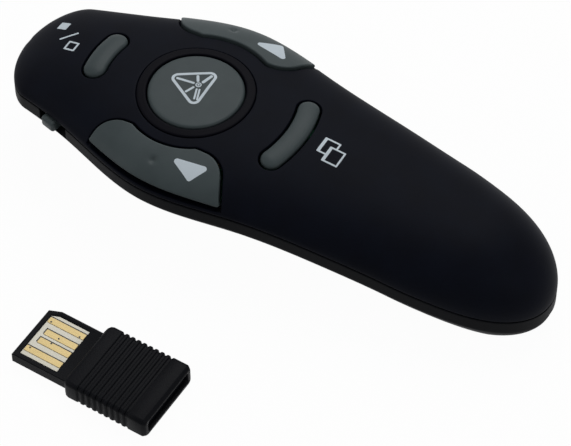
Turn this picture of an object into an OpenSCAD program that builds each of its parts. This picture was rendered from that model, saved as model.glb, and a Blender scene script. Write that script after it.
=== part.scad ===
// Wireless presentation clicker with its plug-in USB receiver lying beside it.
// +X runs to the laser end, +Y to the side with the power slider, +Z up from the resting face.
// The covers are lofts: at every station along X a section is worked out from the half-width,
// the seam height and the crown height there.

/* [Body outline] */
// Overall length of the body
body_len = 106.2; // [100:0.1:112]
// Half-width control at the tail
tail_half = 15.2; // [14.2:0.1:16.2]
// Half-width control at the hand grip's waist
waist_half = 13.5; // [13.2:0.1:14.5]
// Half-width control behind the middle
grip_half = 15.8; // [15.4:0.1:16.8]
// Half-width control at the middle
middle_half = 17.5; // [17.2:0.1:18.5]
// Half-width control beside the laser button
shoulder_half = 22.6; // [22.3:0.1:23.4]
// Half-width control at the neck, before the nose
neck_half = 14.4; // [14:0.1:15.4]
// Half-width control at the nose
nose_half = 10.4; // [10:0.1:11.2]
// How far back from the nose tip its outline rounds off
nose_round = 6.7; // [6:0.1:9]
// How far in from the tail tip its outline rounds off
tail_round = 24.8; // [22:0.1:28]

/* [Body profile] */
// Height of the crown, the top of the body
crown_z = 21; // [20.6:0.1:22]
// Place of the crown along X
crown_x = 13.7; // [12:0.1:15]
// How fast the crown line falls away, per mm squared
crown_fall = 0.00164; // [0.0015:0.00001:0.0018]
// How much faster it falls to the nose than to the tail, per mm cubed
crown_skew = 0.000008; // [0:0.000001:0.00001]
// How far back from the nose tip the crown line rounds down
nose_cap = 16.5; // [14:0.1:19]
// How far in from the tail tip the crown line rounds down
tail_cap = 15.1; // [13:0.1:18]
// Height of the seam between the covers at its highest
seam_z = 15.8; // [15.6:0.1:16.2]
// Place of the seam's highest point along X
seam_x = 21.4; // [18:0.1:25]
// How fast the seam falls away from there, per mm squared
seam_fall = 0.0018; // [0.0017:0.00001:0.0019]
// Fullness of the top cover's section: 2 is an ellipse
dome_power = 2.1; // [2:0.05:2.4]
// Height of the upright rim under the seam
rim_h = 2.8; // [2.5:0.1:3]
// How far the belly comes in for each millimetre down
belly_slope = 0.92; // [0.88:0.01:0.96]
// How far in from the nose tip the belly rises
belly_nose = 20; // [17:0.5:24]
// How far in from the tail tip the belly rises
belly_tail = 14; // [12:0.5:16]

/* [Covers] */
// Wall of both covers
wall = 1.6; // [1.4:0.05:1.7]
// Gap at the seam between the covers
seam_gap = 0.25; // [0.15:0.05:0.35]
// Thickness of the tongue that locates the top cover
tongue_t = 0.8; // [0.6:0.05:0.9]
// Height of the tongue above the seam
tongue_h = 0.8; // [0.6:0.1:0.8]
// Clearance between the tongue and the top cover
tongue_fit = 0.1; // [0.05:0.01:0.15]
// Radius of the screw posts
post_r = 2; // [1.9:0.05:2.2]
// Distance of the front screw from the nose tip
screw_front_back = 21.8; // [21.5:0.1:21.9]
// Distance of the rear screw from the tail tip
screw_rear_in = 6.3; // [6.1:0.1:6.6]
// Length of a screw in the top cover's post
screw_hold = 3.2; // [2.8:0.1:3.4]

/* [Laser button and ring] */
// Distance of the laser button's centre from the nose tip
ring_back = 35.5; // [35.2:0.1:35.8]
// Outer radius of the trim ring round the laser button
ring_r = 10.5; // [10.3:0.1:10.8]
// Radius of the laser button
laser_button_r = 8.6; // [8.2:0.1:8.8]
// How far the laser button and its ring stand above the cover
laser_raise = 0.15; // [0.1:0.05:0.3]

/* [Curved buttons] */
// Distance of the front button's middle line from the laser button's centre
start_arc_r = 19.1; // [18.9:0.1:19.4]
// Width of the front button
start_w = 4.4; // [4:0.1:4.6]
// Half-angle between the centres of the front button's round ends
start_half_angle = 11; // [9:0.5:13]
// Distance of the rear button's middle line from the laser button's centre
window_arc_r = 20.1; // [19.8:0.1:20.4]
// Width of the rear button
window_w = 4.25; // [4:0.05:4.5]
// Half-angle between the centres of the rear button's round ends
window_half_angle = 19; // [16:0.5:21]
// How far the curved and side buttons stand above the cover
button_raise = 0.45; // [0.3:0.05:0.6]

/* [Side buttons] */
// Radius of the side buttons' inner edge, about the laser button
page_inner_r = 13; // [12.9:0.1:13.6]
// Radius of the side buttons' front lobe
front_lobe_r = 4.4; // [4:0.1:4.6]
// Radius of the side buttons' rear lobe
rear_lobe_r = 4.8; // [4.6:0.1:5]
// How much further forward the side button on the -Y side sits
far_shift = 1.1; // [0:0.1:1.5]
// How much further out the side button on the -Y side sits
far_out = 1.2; // [0:0.1:1.3]
// Height of the side buttons' lower edge above the seam
page_edge_h = 1.5; // [1.4:0.1:1.8]

/* [Button fits] */
// Travel of every button
travel = 0.4; // [0.25:0.05:0.45]
// Gap round every button
button_gap = 0.2; // [0.15:0.01:0.25]
// Thickness of the flange that keeps a button in the cover
flange_t = 0.8; // [0.6:0.05:0.9]
// How far the flange reaches under the cover
flange_w = 0.7; // [0.5:0.05:0.8]
// Gap between the flange and the cover at rest
flange_gap = 0.15; // [0.1:0.01:0.2]
// Radius of the stems under the buttons
stem_r = 1.6; // [1.4:0.05:1.8]

/* [Board and switches] */
// Height of the board's underside
board_z = 13.3; // [13.2:0.05:13.4]
// Thickness of the board
board_t = 1.1; // [1:0.05:1.2]
// How far the board runs on behind the rear button's switch
board_behind = 9.5; // [9:0.5:10.5]
// Distance of the board's front end from the nose tip
board_front_back = 10.1; // [9.5:0.1:11.1]
// Gap between the board's edge and the outline of the covers
board_inset = 3.2; // [3.1:0.1:3.6]
// Side of the square push switches
switch_w = 4.6; // [4.2:0.1:4.8]
// Height of the push switches
switch_h = 1.6; // [1.4:0.05:1.7]
// Radius of the push switches' plungers
plunger_r = 1.1; // [0.9:0.05:1.2]
// How far a plunger stands out of its switch
plunger_h = 0.6; // [0.5:0.05:0.7]
// Radial clearance of a plunger in its switch
plunger_fit = 0.06; // [0.04:0.01:0.1]

/* [Power slider] */
// Distance of the slider's slot from the nose tip
slot_back = 14.2; // [13.9:0.1:14.5]
// Length of the slot that the knob and its travel don't use
slot_play = 1.9; // [1.7:0.1:2.1]
// Height of the slot
slot_h = 2.5; // [2.3:0.1:2.6]
// Length of the knob along the slot
knob_len = 3.1; // [2.9:0.1:3.3]
// How far the knob stands out of the wall
knob_out = 1; // [0.8:0.1:1.2]
// Travel of the knob towards the tail
knob_travel = 2; // [1.5:0.1:2.2]

/* [Laser] */
// How far the laser's axis lies under the seam at the nose tip
laser_drop = 1.2; // [1:0.1:1.4]
// Radius of the laser barrel
barrel_r = 3.1; // [2.9:0.1:3.2]
// Length of the laser barrel
barrel_len = 8; // [7.6:0.1:8.2]
// Gap between the front button's switch and the barrel
barrel_gap = 0.6; // [0.4:0.1:0.8]
// Radius of the window at the nose
laser_window_r = 2; // [1.8:0.1:2.2]

/* [Batteries] */
// Radius of an AAA cell
cell_r = 5.2; // [5.15:0.05:5.25]
// Length of an AAA cell with its button
cell_len = 44.5; // [44:0.1:44.6]
// Height of the cells' axes
cell_z = 7.6; // [7.5:0.05:7.7]
// Distance of the battery bay's rear end from the tail tip
bay_rear_in = 14.5; // [14.3:0.1:14.9]
// Half of the distance between the cells' axes
cell_half_pitch = 5.3; // [5.28:0.01:5.4]
// Half-width of the battery door
door_half = 10.8; // [10.7:0.05:11]
// Gap round the battery door
door_gap = 0.3; // [0.25:0.05:0.35]

/* [Receiver] */
// Place of the receiver's cap front along X
receiver_x = 11.1; // [8:0.1:14]
// Place of the receiver's axis along Y
receiver_y = 47.8; // [44:0.1:60]
// Turn of the receiver about the upright
receiver_turn = -2.2; // [-20:0.1:20]
// Width of a standard USB plug
plug_w = 12; // [12:0.1:12.1]
// Thickness of the bare plug
plug_t = 2.2; // [2.1:0.05:2.3]
// Length of the plug outside the cap
plug_len = 11.4; // [10.8:0.1:12]
// Height of the plug's underside
plug_low = 0.45; // [0.4:0.05:0.7]
// Length of the receiver's cap
cap_len = 16.7; // [15.8:0.1:17.5]
// Width of the receiver's cap
cap_w = 14.5; // [13.8:0.1:15]
// Thickness of the receiver's cap
cap_t = 4.4; // [4.1:0.1:4.8]
// Number of grip ribs on the cap
rib_count = 9; // [6:1:9]

/* [Hidden] */

$fn = 32;
eps = 0.01;
half_len = body_len / 2;
sections = 26;
dome_steps = 14;
belly_steps = 5;
big = 60;

// ---- Lines along the body ----
controls = [tail_half, waist_half, grip_half, middle_half, shoulder_half, neck_half, nose_half];
last = len(controls) - 1;
function control(i) = i < 0 ? 2 * controls[0] - controls[1]
  : i > last ? 2 * controls[last] - controls[last - 1] : controls[i];
function spline(u) = let (i = min(floor(u), last - 1), t = u - i)
  (pow(1 - t, 3) * control(i - 1) + (3 * pow(t, 3) - 6 * t * t + 4) * control(i)
  + (-3 * pow(t, 3) + 3 * t * t + 3 * t + 1) * control(i + 1) + pow(t, 3) * control(i + 2)) / 6;
function side_line(x) = spline((x + half_len) / body_len * last);
// 0 at an end and 1 from the distance r on, as a quarter round
function round_in(d, r) = d >= r ? 1 : sqrt(max(0, 1 - pow(1 - d / r, 2)));
function nose_gap(x) = half_len - x;
function tail_gap(x) = x + half_len;
// t is how far inside the outer surface the line runs
function half_width(x, t = 0) = (side_line(x) - t)
  * round_in(nose_gap(x) - t, nose_round - t / 2) * round_in(tail_gap(x) - t, tail_round - t / 2);
function seam(x) = seam_z - seam_fall * pow(x - seam_x, 2);
function crown_line(x) = let (u = x - crown_x) crown_z - crown_fall * u * u - crown_skew * pow(u, 3);
function dome_h(x, t = 0) = (crown_line(x) - seam(x) - t)
  * round_in(nose_gap(x) - t, nose_cap - t / 2) * round_in(tail_gap(x) - t, tail_cap - t / 2);
// Height of the surface that lies t inside the top cover's outer one
function dome_z(x, y, t = 0) = let (s = min(1, abs(y) / half_width(x, t)))
  seam(x) + dome_h(x, t) * pow(1 - pow(s, dome_power), 1 / dome_power);
function belly_z(x, t = 0) = let (d = seam(x) - rim_h)
  d - (d - t) * round_in(nose_gap(x) - t, belly_nose - t) * round_in(tail_gap(x) - t, belly_tail - t);
function station(i, t) = let (a = 2 + 176 * i / sections) -(half_len - t) * cos(a);

// ---- Derived sizes and places ----
// Centres of the push switches, under their buttons
ring_x = half_len - ring_back;
start_x = ring_x + start_arc_r;
window_x = ring_x - window_arc_r;
page_x = ring_x - 3.2;
page_y = 14.2;

// Heights in the stack of board, switches and buttons
board_top = board_z + board_t;
board_rear_x = window_x - board_behind;
board_front_x = half_len - board_front_back;
plunger_top = board_top + switch_h + plunger_h;
antenna_w = 0.8;
// Seat of the trim ring, and the flange of the laser button under it
ring_fit = 0.1;
collar_t = 1;
ledge_t = 0.7;
ring_seat_z = crown_z - 2.4;
flange_z = ring_seat_z - ledge_t - flange_gap - flange_t;
// Case screws
screw_front_x = half_len - screw_front_back;
screw_rear_x = screw_rear_in - half_len;
pilot_r = 0.95;

// Power slider: its place on the rim, and the knob's place along the slot
slot_x = half_len - slot_back;
slot_len = knob_len + knob_travel + slot_play;
slider_fit = 0.15;
slider_angle = -15;
slider_y = half_width(slot_x) - 0.05;
slider_z = seam(slot_x) - seam_gap - slot_h / 2;
knob_x = slot_len / 2 - 1.35 - knob_len / 2;

// Laser barrel
laser_z = seam(half_len) - laser_drop;
barrel_rear_x = start_x + switch_w / 2 + barrel_gap;
barrel_front_x = barrel_rear_x + barrel_len;

// Battery bay and door
bay_rear_x = bay_rear_in - half_len;
nub_len = 0.8;
contact_t = 0.3;
contact_fit = 0.05;
spring_r = 2.6;
spring_wire = 0.2;
spring_turns = 3;
spring_len = 2.6;
bay_front_x = bay_rear_x + cell_len + spring_len + 3 * contact_fit;
door_rear_x = bay_rear_x;
door_front_x = bay_front_x;
bulkhead_t = 1.2;
hinge_w = 2 * cell_half_pitch - 6.6;
hinge_root = nub_len;
hinge_reach = 2.2;

// Receiver
window_rear = 2.7;
window_frame = 1;
plug_chamfer = [2.2, 0.9];
cap_corner = 1.2;
rib_pitch = 1.2;
rib_depth = 0.22;
tray_t = 1.2;
receiver_board_t = 0.8;
pin_pitch = [-3.5, -1, 1, 3.5];

// ---- Lofts ----
// rings is a list of closed rings with equally many points each, from tail to nose
module swept(rings, closed = false) {
  count = len(rings[0]);
  spans = len(rings) - (closed ? 1 : 2);
  faces_side = [for (i = [0 : spans], k = [0 : count - 1], half = [0, 1])
    let (j = (i + 1) % len(rings), a = i * count + k, b = i * count + (k + 1) % count,
      c = j * count + k, d = j * count + (k + 1) % count)
    half == 0 ? [a, b, c] : [b, d, c]];
  end = (len(rings) - 1) * count;
  ends = closed ? [] : [[for (k = [count - 1 : -1 : 0]) k], [for (k = [0 : count - 1]) end + k]];
  polyhedron(points = [for (ring = rings, p = ring) p], faces = concat(faces_side, ends));
}
// Everything between the seam and the surface t inside the top cover's outer one
// drop is how far its sides run on below the seam
module dome(t = 0, drop = 0) {
  swept([for (i = [0 : sections]) let (x = station(i, t), w = half_width(x, t), h = dome_h(x, t))
    concat([for (k = [0 : dome_steps]) let (a = 180 * k / dome_steps, c = -cos(a))
      [x, w * sign(c) * pow(abs(c), 2 / dome_power), seam(x) + h * pow(sin(a), 2 / dome_power)]],
      drop > 0 ? [[x, w, seam(x) - drop], [x, -w, seam(x) - drop]] : [])]);
}
// One side of the belly's section, from the seam to the base
function belly_side(x, t, rise) =
  let (w = half_width(x, t), top = seam(x), low = belly_z(x, t),
    slant = sqrt(1 + belly_slope * belly_slope),
    turn = max(low, top - rim_h + t * (slant - 1) / belly_slope),
    foot = max(w * 0.3, w - belly_slope * (turn - low)),
    a = [w, turn], b = [w, max(low, turn - 0.7)], c = [foot + min(2, (w - foot) / 2), low], d = [foot, low])
  concat([[x, w, top + rise]], [for (k = [0 : belly_steps]) let (u = k / belly_steps, v = 1 - u,
    p = v * v * v * a + 3 * v * v * u * b + 3 * v * u * u * c + u * u * u * d) [x, p[0], p[1]]]);
function mirrored(side) = [for (k = [len(side) - 1 : -1 : 0]) [side[k][0], -side[k][1], side[k][2]]];
// Everything between the seam and the surface t inside the bottom cover's outer one
// rise is how far its sides run on above the seam
module belly(t = 0, rise = 0) {
  swept([for (i = [0 : sections]) let (side = belly_side(station(i, t), t, rise))
    concat(side, mirrored(side))]);
}
// A slab that follows the seam, from low to high above it
module seam_slab(low, high) {
  swept([for (i = [0 : sections]) let (x = station(i, -3), s = seam(x))
    [[x, big, s + low], [x, -big, s + low], [x, -big, s + high], [x, big, s + high]]]);
}
// The tongue on the bottom cover's edge: corners are [distance inside the outline, height above the seam]
// It is lower where the top cover is, at the nose and the tail
tongue_corners = [[wall - 0.3, -1.5], [wall - 0.3, -0.5], [wall + tongue_fit, -0.15],
  [wall + tongue_fit + 0.45, tongue_h], [wall + tongue_fit + tongue_t, tongue_h],
  [wall + tongue_fit + tongue_t, -1.5]];
function tongue_ring(i, side) = [for (c = tongue_corners) let (x = station(i, c[0]))
  [x, side * half_width(x, c[0]), seam(x) + min(c[1], 0.3 * dome_h(x, wall + tongue_fit))]];
module tongue() {
  swept(concat([for (i = [0 : sections]) tongue_ring(i, -1)],
    [for (i = [sections : -1 : 0]) tongue_ring(i, 1)]),
    closed = true);
}
// Everything that lies higher above the seam than low
module above_seam(low) {
  seam_slab(low, big);
}

// ---- Button outlines ----
arc_steps = 8;
module arc_outline(r, w, half_angle, grow = 0) {
  step = 2 * half_angle / arc_steps;
  translate([ring_x, 0])
    for (i = [0 : arc_steps - 1])
      hull()
        for (a = [0, step])
          rotate(i * step - half_angle + a) translate([r, 0]) circle(w / 2 + grow);
}
module start_outline(grow = 0) {
  arc_outline(start_arc_r, start_w, start_half_angle, grow);
}
module window_outline(grow = 0) {
  translate([2 * ring_x, 0]) mirror([1, 0]) arc_outline(window_arc_r, window_w, window_half_angle, grow);
}
// Plan of a side button, on the +Y side: two lobes joined by an edge round the laser button
front_lobe = [ring_x + 7.3, 16];
rear_lobe = [ring_x - 8.7, 15.9];
front_splay = [1.2, 12];
rear_splay = [-6, 12];
// How much further forward and out the button on a side sits
function page_shift(side) = side < 0 ? [far_shift, far_out] : [0, 0];
module page_outline(side, grow = 0) {
  difference() {
    translate(page_shift(side)) {
      hull() {
        translate(front_lobe) circle(front_lobe_r + grow);
        translate(rear_lobe) circle(rear_lobe_r + grow);
      }
      // both lobes run out over the side of the cover, opening a little
      hull() {
        translate(front_lobe) circle(front_lobe_r + grow);
        translate(front_lobe + front_splay) circle(front_lobe_r + grow);
      }
      hull() {
        translate(rear_lobe) circle(rear_lobe_r + grow);
        translate(rear_lobe + rear_splay) circle(rear_lobe_r + grow);
      }
      hull() {
        translate(front_lobe + front_splay) circle(front_lobe_r + grow);
        translate(rear_lobe + rear_splay) circle(rear_lobe_r + grow);
      }
    }
    translate([ring_x, 0]) circle(page_inner_r + page_shift(side)[1] - grow, $fn = 72);
  }
}

// ---- Buttons ----
// A cap that stands raise above the cover, with a flange under it, inside a plan outline
module cap_shell(raise) {
  difference() {
    intersection() {
      dome(-raise);
      translate([0, 0, plunger_top]) linear_extrude(big) children(0);
    }
    dome(wall + flange_gap + flange_t);
  }
  intersection() {
    difference() {
      dome(wall + flange_gap);
      dome(wall + flange_gap + flange_t, 1);
    }
    translate([0, 0, plunger_top]) linear_extrude(big) children(1);
  }
}
// A tapered stem from a cap down to the plunger of its switch
module stem(x, y) {
  z = dome_z(x, y, wall + flange_gap + flange_t / 2);
  hull() {
    translate([x, y, plunger_top]) cylinder(r = stem_r, h = eps);
    translate([x, y, z - eps]) cylinder(r = stem_r + 0.3, h = eps);
  }
}
module laser_button() color("#454c4e") {
  difference() {
    intersection() {
      dome(-laser_raise);
      translate([ring_x, 0, flange_z]) cylinder(r = laser_button_r, h = 8, $fn = 72);
    }
    translate([ring_x, 0, flange_z - 1]) cylinder(r = laser_button_r - wall, h = crown_z - wall - flange_z);
  }
  translate([ring_x, 0, flange_z]) difference() {
    cylinder(r = laser_button_r + flange_w, h = flange_t, $fn = 72);
    translate([0, 0, -1]) cylinder(r = laser_button_r - wall, h = flange_t + 2);
  }
  translate([ring_x, 0, plunger_top]) cylinder(r = stem_r, h = crown_z - wall / 2 - plunger_top);
}
module laser_ring() color("#1b191d") difference() {
  intersection() {
    dome(-laser_raise);
    translate([ring_x, 0, ring_seat_z]) cylinder(r = ring_r, h = 8, $fn = 72);
  }
  translate([ring_x, 0, ring_seat_z - 1]) cylinder(r = laser_button_r + button_gap, h = 9, $fn = 72);
}
module start_button() color("#454c4e") {
  cap_shell(button_raise) {
    start_outline();
    start_outline(flange_w);
  }
  stem(start_x, 0);
}
module window_button() color("#454c4e") {
  cap_shell(button_raise) {
    window_outline();
    window_outline(flange_w);
  }
  stem(window_x, 0);
}
module page_button(side) color("#434b4d") {
  mirror([0, side < 0 ? 1 : 0, 0]) {
    intersection() {
      cap_shell(button_raise) {
        page_outline(side);
        page_outline(side, flange_w);
      }
      above_seam(page_edge_h);
    }
    stem(page_x + page_shift(side)[0], page_y + page_shift(side)[1]);
  }
}
module page_up_button() page_button(1);
module page_down_button() page_button(-1);

// ---- Covers ----
module screw_posts_top() {
  for (x = [screw_front_x, screw_rear_x])
    translate([x, 0, post_split(x)]) cylinder(r = post_r, h = dome_z(x, 0, wall / 2) - post_split(x));
}
// Height at which the posts of the two covers meet
function post_split(x) = x > 0 ? board_z + board_t : seam(x) + 1;
module top_cover() color("#13151b") {
  difference() {
    dome();
    dome(wall, 2);
    translate([ring_x, 0, 0]) cylinder(r = ring_r + ring_fit, h = big, $fn = 72);
    linear_extrude(big) start_outline(button_gap);
    linear_extrude(big) window_outline(button_gap);
    for (side = [-1, 1])
      mirror([0, side < 0 ? 1 : 0, 0]) intersection() {
        linear_extrude(big) page_outline(side, button_gap);
        above_seam(page_edge_h - travel - button_gap);
      }
    laser_hole();
  }
  ring_seat();
  difference() {
    screw_posts_top();
    for (x = [screw_front_x, screw_rear_x])
      translate([x, 0, post_split(x) - 1]) cylinder(r = pilot_r + 0.02, h = screw_hold + 1.4);
  }
}
// A collar and a ledge inside the cover, in which the trim ring is seated
module ring_seat() {
  intersection() {
    dome(wall / 2);
    translate([ring_x, 0, ring_seat_z - ledge_t]) difference() {
      cylinder(r = ring_r + ring_fit + collar_t, h = 8, $fn = 72);
      translate([0, 0, ledge_t]) cylinder(r = ring_r + ring_fit, h = 8, $fn = 72);
      translate([0, 0, -1]) cylinder(r = laser_button_r + button_gap, h = 8, $fn = 72);
    }
  }
}
module laser_hole() {
  translate([half_len - 8, 0, laser_z]) rotate([0, 90, 0]) cylinder(r = laser_window_r + 0.1, h = 10);
}
module door_region(gap = 0) {
  translate([door_rear_x - gap, -door_half - gap, -1])
    cube([door_front_x - door_rear_x + 2 * gap, 2 * (door_half + gap), 8]);
}
module at_slider() {
  translate([slot_x, slider_y, slider_z]) rotate(slider_angle) children();
}
module slider_room() {
  at_slider() {
    translate([-slot_len / 2, -3, -slot_h / 2]) cube([slot_len, 6, slot_h + 4]);
    translate([-slot_len / 2 - 2, -4.6, -slot_h / 2 - 1.2]) cube([slot_len + 4, 3.05, slot_h + 6]);
  }
}
module bulkhead(x) {
  intersection() {
    belly(wall / 2);
    translate([x, -big / 2, 0]) cube([bulkhead_t, big, board_z - 0.1]);
  }
}
module bottom_cover() color("#111318") {
  difference() {
    union() {
      difference() {
        union() {
          difference() {
            belly();
            belly(wall, 2);
            door_region(door_gap);
          }
          bulkhead(bay_rear_x - door_gap - 0.1 - bulkhead_t);
          bulkhead(bay_front_x + door_gap + 0.1);
          board_ledges();
          barrel_cradles();
        }
        above_seam(-seam_gap);
      }
      tongue();
      screw_posts_bottom();
    }
    slider_room();
    laser_hole();
    hinge_room();
    cells_room();
    for (x = [screw_front_x, screw_rear_x])
      translate([x, 0, -1]) {
        cylinder(r = pilot_r + 0.15, h = big);
        cylinder(r = post_r - 0.35 + 0.15, h = screw_head_z(x) + 1);
      }
  }
}
function screw_head_z(x) = belly_z(x) + 2.4;
// Posts that widen towards the floor
module screw_posts_bottom() {
  for (x = [screw_front_x, screw_rear_x]) {
    low = belly_z(x) + wall / 2;
    top = x > 0 ? board_z : post_split(x);
    hull() {
      translate([x, 0, low]) cylinder(r = post_r + 0.9, h = eps);
      translate([x, 0, top - eps]) cylinder(r = post_r + 0.4, h = eps);
    }
  }
}
// Ledges on the side walls that the board rests on
module board_ledges() {
  intersection() {
    belly(wall / 2);
    for (s = [-1, 1], x = [window_x - 3.5, window_x + 8.5])
      hull() {
        translate([x - 1, s * 11.5 - 0.5, board_z - 1]) cube([2, 1, 1]);
        translate([x - 1, s * 20 - 0.5, board_z - 6]) cube([2, 1, 6]);
      }
  }
}
// Ribs in the nose that hold the laser barrel
module barrel_cradles() {
  difference() {
    intersection() {
      belly(wall / 2);
      for (x = [barrel_rear_x + 1.6, barrel_front_x - 2.4])
        hull() {
          translate([x, -barrel_r - 1, laser_z - 1.5]) cube([1.2, 2 * barrel_r + 2, 1]);
          translate([x, -barrel_r - 2, 0]) cube([1.2, 2 * barrel_r + 4, 1]);
        }
    }
    along_x(barrel_rear_x - 1) cylinder(r = barrel_r + 0.05, h = barrel_len + 2);
  }
}
// ---- Battery door ----
// The walls of the bottom cover and the door are thinner where the cells come near them
module cells_room() {
  for (s = [-1, 1])
    translate([bay_rear_x - 0.3, s * cell_half_pitch, cell_z]) rotate([0, 90, 0])
      cylinder(r = cell_r + 0.15, h = bay_front_x - bay_rear_x + 0.6, $fn = 48);
}
// The door's tab turns up between the two cells as the door opens
module hinge_room() {
  translate([door_front_x - 1, -hinge_w / 2 - 0.3, wall + 0.05])
    cube([hinge_reach + 2.4, hinge_w + 0.6, 3.2]);
}
module battery_door() color("#111318") {
  difference() {
    intersection() {
      belly();
      door_region();
    }
    belly(wall, 2);
    cells_room();
  }
  translate([door_front_x - hinge_root, -hinge_w / 2, wall - eps])
    difference() {
      cube([hinge_reach + hinge_root, hinge_w, 1.2]);
      translate([hinge_root, -1, -1]) cube([hinge_reach + 1, hinge_w + 2, 1.2]);
    }
}
module case_screws() color("#9a9c9e") {
  for (x = [screw_front_x, screw_rear_x]) translate([x, 0, screw_head_z(x)]) {
    cylinder(r = pilot_r, h = post_split(x) + screw_hold - screw_head_z(x));
    difference() {
      translate([0, 0, -1.3]) cylinder(r = post_r - 0.35, h = 1.3);
      for (a = [0, 90]) rotate(a) translate([-1.1, -0.2, -1.4]) cube([2.2, 0.4, 0.7]);
    }
  }
}

// ---- Board and what is on it ----
board_xs = [for (i = [0 : 24]) board_rear_x + (board_front_x - board_rear_x) * i / 24];
module main_board() color("#1d5a3c") difference() {
  translate([0, 0, board_z]) linear_extrude(board_t)
    polygon(concat([for (x = board_xs) [x, -half_width(x) + board_inset]],
      [for (i = [24 : -1 : 0]) [board_xs[i], half_width(board_xs[i]) - board_inset]]));
  at_slider() translate([-slot_len / 2 - 2.2, -5, -5]) cube([slot_len + 4.4, 6, 10]);
  translate([screw_front_x, 0, 0]) cylinder(r = pilot_r + 0.2, h = big);
  translate([barrel_rear_x - 0.3, -barrel_r - 0.5, 0]) cube([barrel_len, 2 * barrel_r + 1, big]);
}
module push_switch(x, y) color("#23262a") {
  translate([x, y, board_top]) difference() {
    translate([-switch_w / 2, -switch_w / 2, 0]) cube([switch_w, switch_w, switch_h]);
    translate([0, 0, 0.15]) cylinder(r = plunger_r + plunger_fit, h = switch_h);
  }
}
module plunger(x, y) color("#d9d6cc") {
  translate([x, y, board_top + 0.15 + travel + 0.1])
    cylinder(r = plunger_r, h = plunger_top - board_top - 0.25 - travel);
}
module laser_switch() push_switch(ring_x, 0);
module start_switch() push_switch(start_x, 0);
module window_switch() push_switch(window_x, 0);
module page_up_switch() push_switch(page_x, page_y);
module page_down_switch() push_switch(page_x + far_shift, -page_y - far_out);
module laser_plunger() plunger(ring_x, 0);
module start_plunger() plunger(start_x, 0);
module window_plunger() plunger(window_x, 0);
module page_up_plunger() plunger(page_x, page_y);
module page_down_plunger() plunger(page_x + far_shift, -page_y - far_out);
module board_block(x, y, size) {
  translate([x - size[0] / 2, y - size[1] / 2, board_top]) cube(size);
}
module control_chip() color("#1a1b1d") board_block(window_x + 7, 0, [4, 5, 1.2]);
module radio_chip() color("#1a1b1d") board_block(window_x - 5, -5, [4, 4, 0.9]);
module crystal() color("#c3c5c7") board_block(window_x - 5, 1.5, [3.2, 2.5, 0.8]);
module chip_capacitors() color("#b59b74") {
  for (i = [0 : 3]) board_block(window_x + 3.5 + 2.4 * i, 7.8, [1, 1.6, 0.7]);
}
module antenna() color("#c9a35a") translate([board_rear_x + 1.4, 4.6, board_top]) linear_extrude(0.1) {
  for (i = [0 : 4]) translate([0, 2 * antenna_w * i]) square([4.4, antenna_w]);
  for (i = [0 : 3]) translate([i % 2 == 0 ? 3.6 : 0, 2 * antenna_w * i]) square([antenna_w, 3 * antenna_w]);
}

// ---- Power slider ----
module power_knob() color("#474e50") at_slider() {
  translate([knob_x - knob_len / 2, -1.7, -slot_h / 2 + slider_fit])
    cube([knob_len, 1.7 + knob_out, slot_h - 2 * slider_fit]);
  translate([knob_x - knob_len / 2 - 0.6, -2.7, -slot_h / 2 - 0.4])
    cube([knob_len + 0.4, 1, slot_h + 0.2]);
  translate([knob_x - 1.4, -3.4, -slot_h / 2 - 1]) cube([2.8, 1, slot_h]);
}
module power_switch() color("#b9bcbe") at_slider() difference() {
  translate([-4.6, -8, board_z - slider_z - 2.4]) cube([8, 3, 2.4]);
  translate([-3, -6.6, board_z - slider_z - 1.9]) cube([5, 3, 1.4]);
}
module power_stem() color("#23262a") at_slider()
  translate([knob_x - 0.7, -6.4, board_z - slider_z - 1.7]) cube([1.4, 3, 1]);

// ---- Laser ----
module along_x(x) {
  translate([x, 0, laser_z]) rotate([0, 90, 0]) children();
}
module laser_barrel() color("#b08d4a") along_x(barrel_rear_x) difference() {
  cylinder(r = barrel_r, h = barrel_len);
  translate([0, 0, -1]) cylinder(r = barrel_r - 0.6, h = barrel_len + 2);
}
module laser_diode() color("#c8c9c4") along_x(barrel_rear_x) {
  cylinder(r = barrel_r - 0.6, h = 1.2);
  cylinder(r = 1.6, h = 3.6);
}
module laser_lens() color("#cfe0e6") along_x(barrel_front_x - 2.4) cylinder(r = barrel_r - 0.6, h = 1.4);
module laser_window() color("#5a1616") along_x(half_len - 1.9) cylinder(r = laser_window_r, h = 1.2);

// ---- Batteries and contacts ----
// A cell with its button end turned to the front or to the rear
module cell(y, turned) color("#2f4f8a")
  translate([turned ? bay_rear_x + contact_fit + cell_len : bay_front_x - contact_fit - cell_len, y, cell_z])
    rotate([0, turned ? -90 : 90, 0]) {
      cylinder(r = cell_r, h = cell_len - nub_len);
      cylinder(r = 1.9, h = cell_len);
    }
module left_cell() cell(cell_half_pitch, false);
module right_cell() cell(-cell_half_pitch, true);
module coil_spring() {
  steps = spring_turns * 12;
  rise = spring_len - 2 * spring_wire;
  swept([for (i = [0 : steps]) let (a = 360 * i / 12, z = spring_wire + rise * i / steps)
    [for (k = [0 : 5]) let (b = 60 * k, r = spring_r + spring_wire * cos(b))
      [r * cos(a), r * sin(a), z + spring_wire * sin(b)]]]);
}
module left_spring() color("#b9bbbd")
  translate([bay_rear_x + contact_fit, cell_half_pitch, cell_z]) rotate([0, 90, 0]) coil_spring();
module right_spring() color("#b9bbbd")
  translate([bay_front_x - contact_fit - spring_len, -cell_half_pitch, cell_z])
    rotate([0, 90, 0]) coil_spring();
module contact_plate(x, y, w, h) {
  translate([x, y - w / 2, cell_z - h / 2]) cube([contact_t, w, h]);
}
module front_contacts() color("#c4c6c8") {
  for (s = [-1, 1])
    contact_plate(bay_front_x, s * cell_half_pitch, 1.35 * cell_r, 1.42 * cell_r);
}
module rear_contact() color("#c4c6c8")
  contact_plate(bay_rear_x - contact_t, 0, 2 * cell_half_pitch + 1.15 * cell_r, 1.23 * cell_r);

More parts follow.
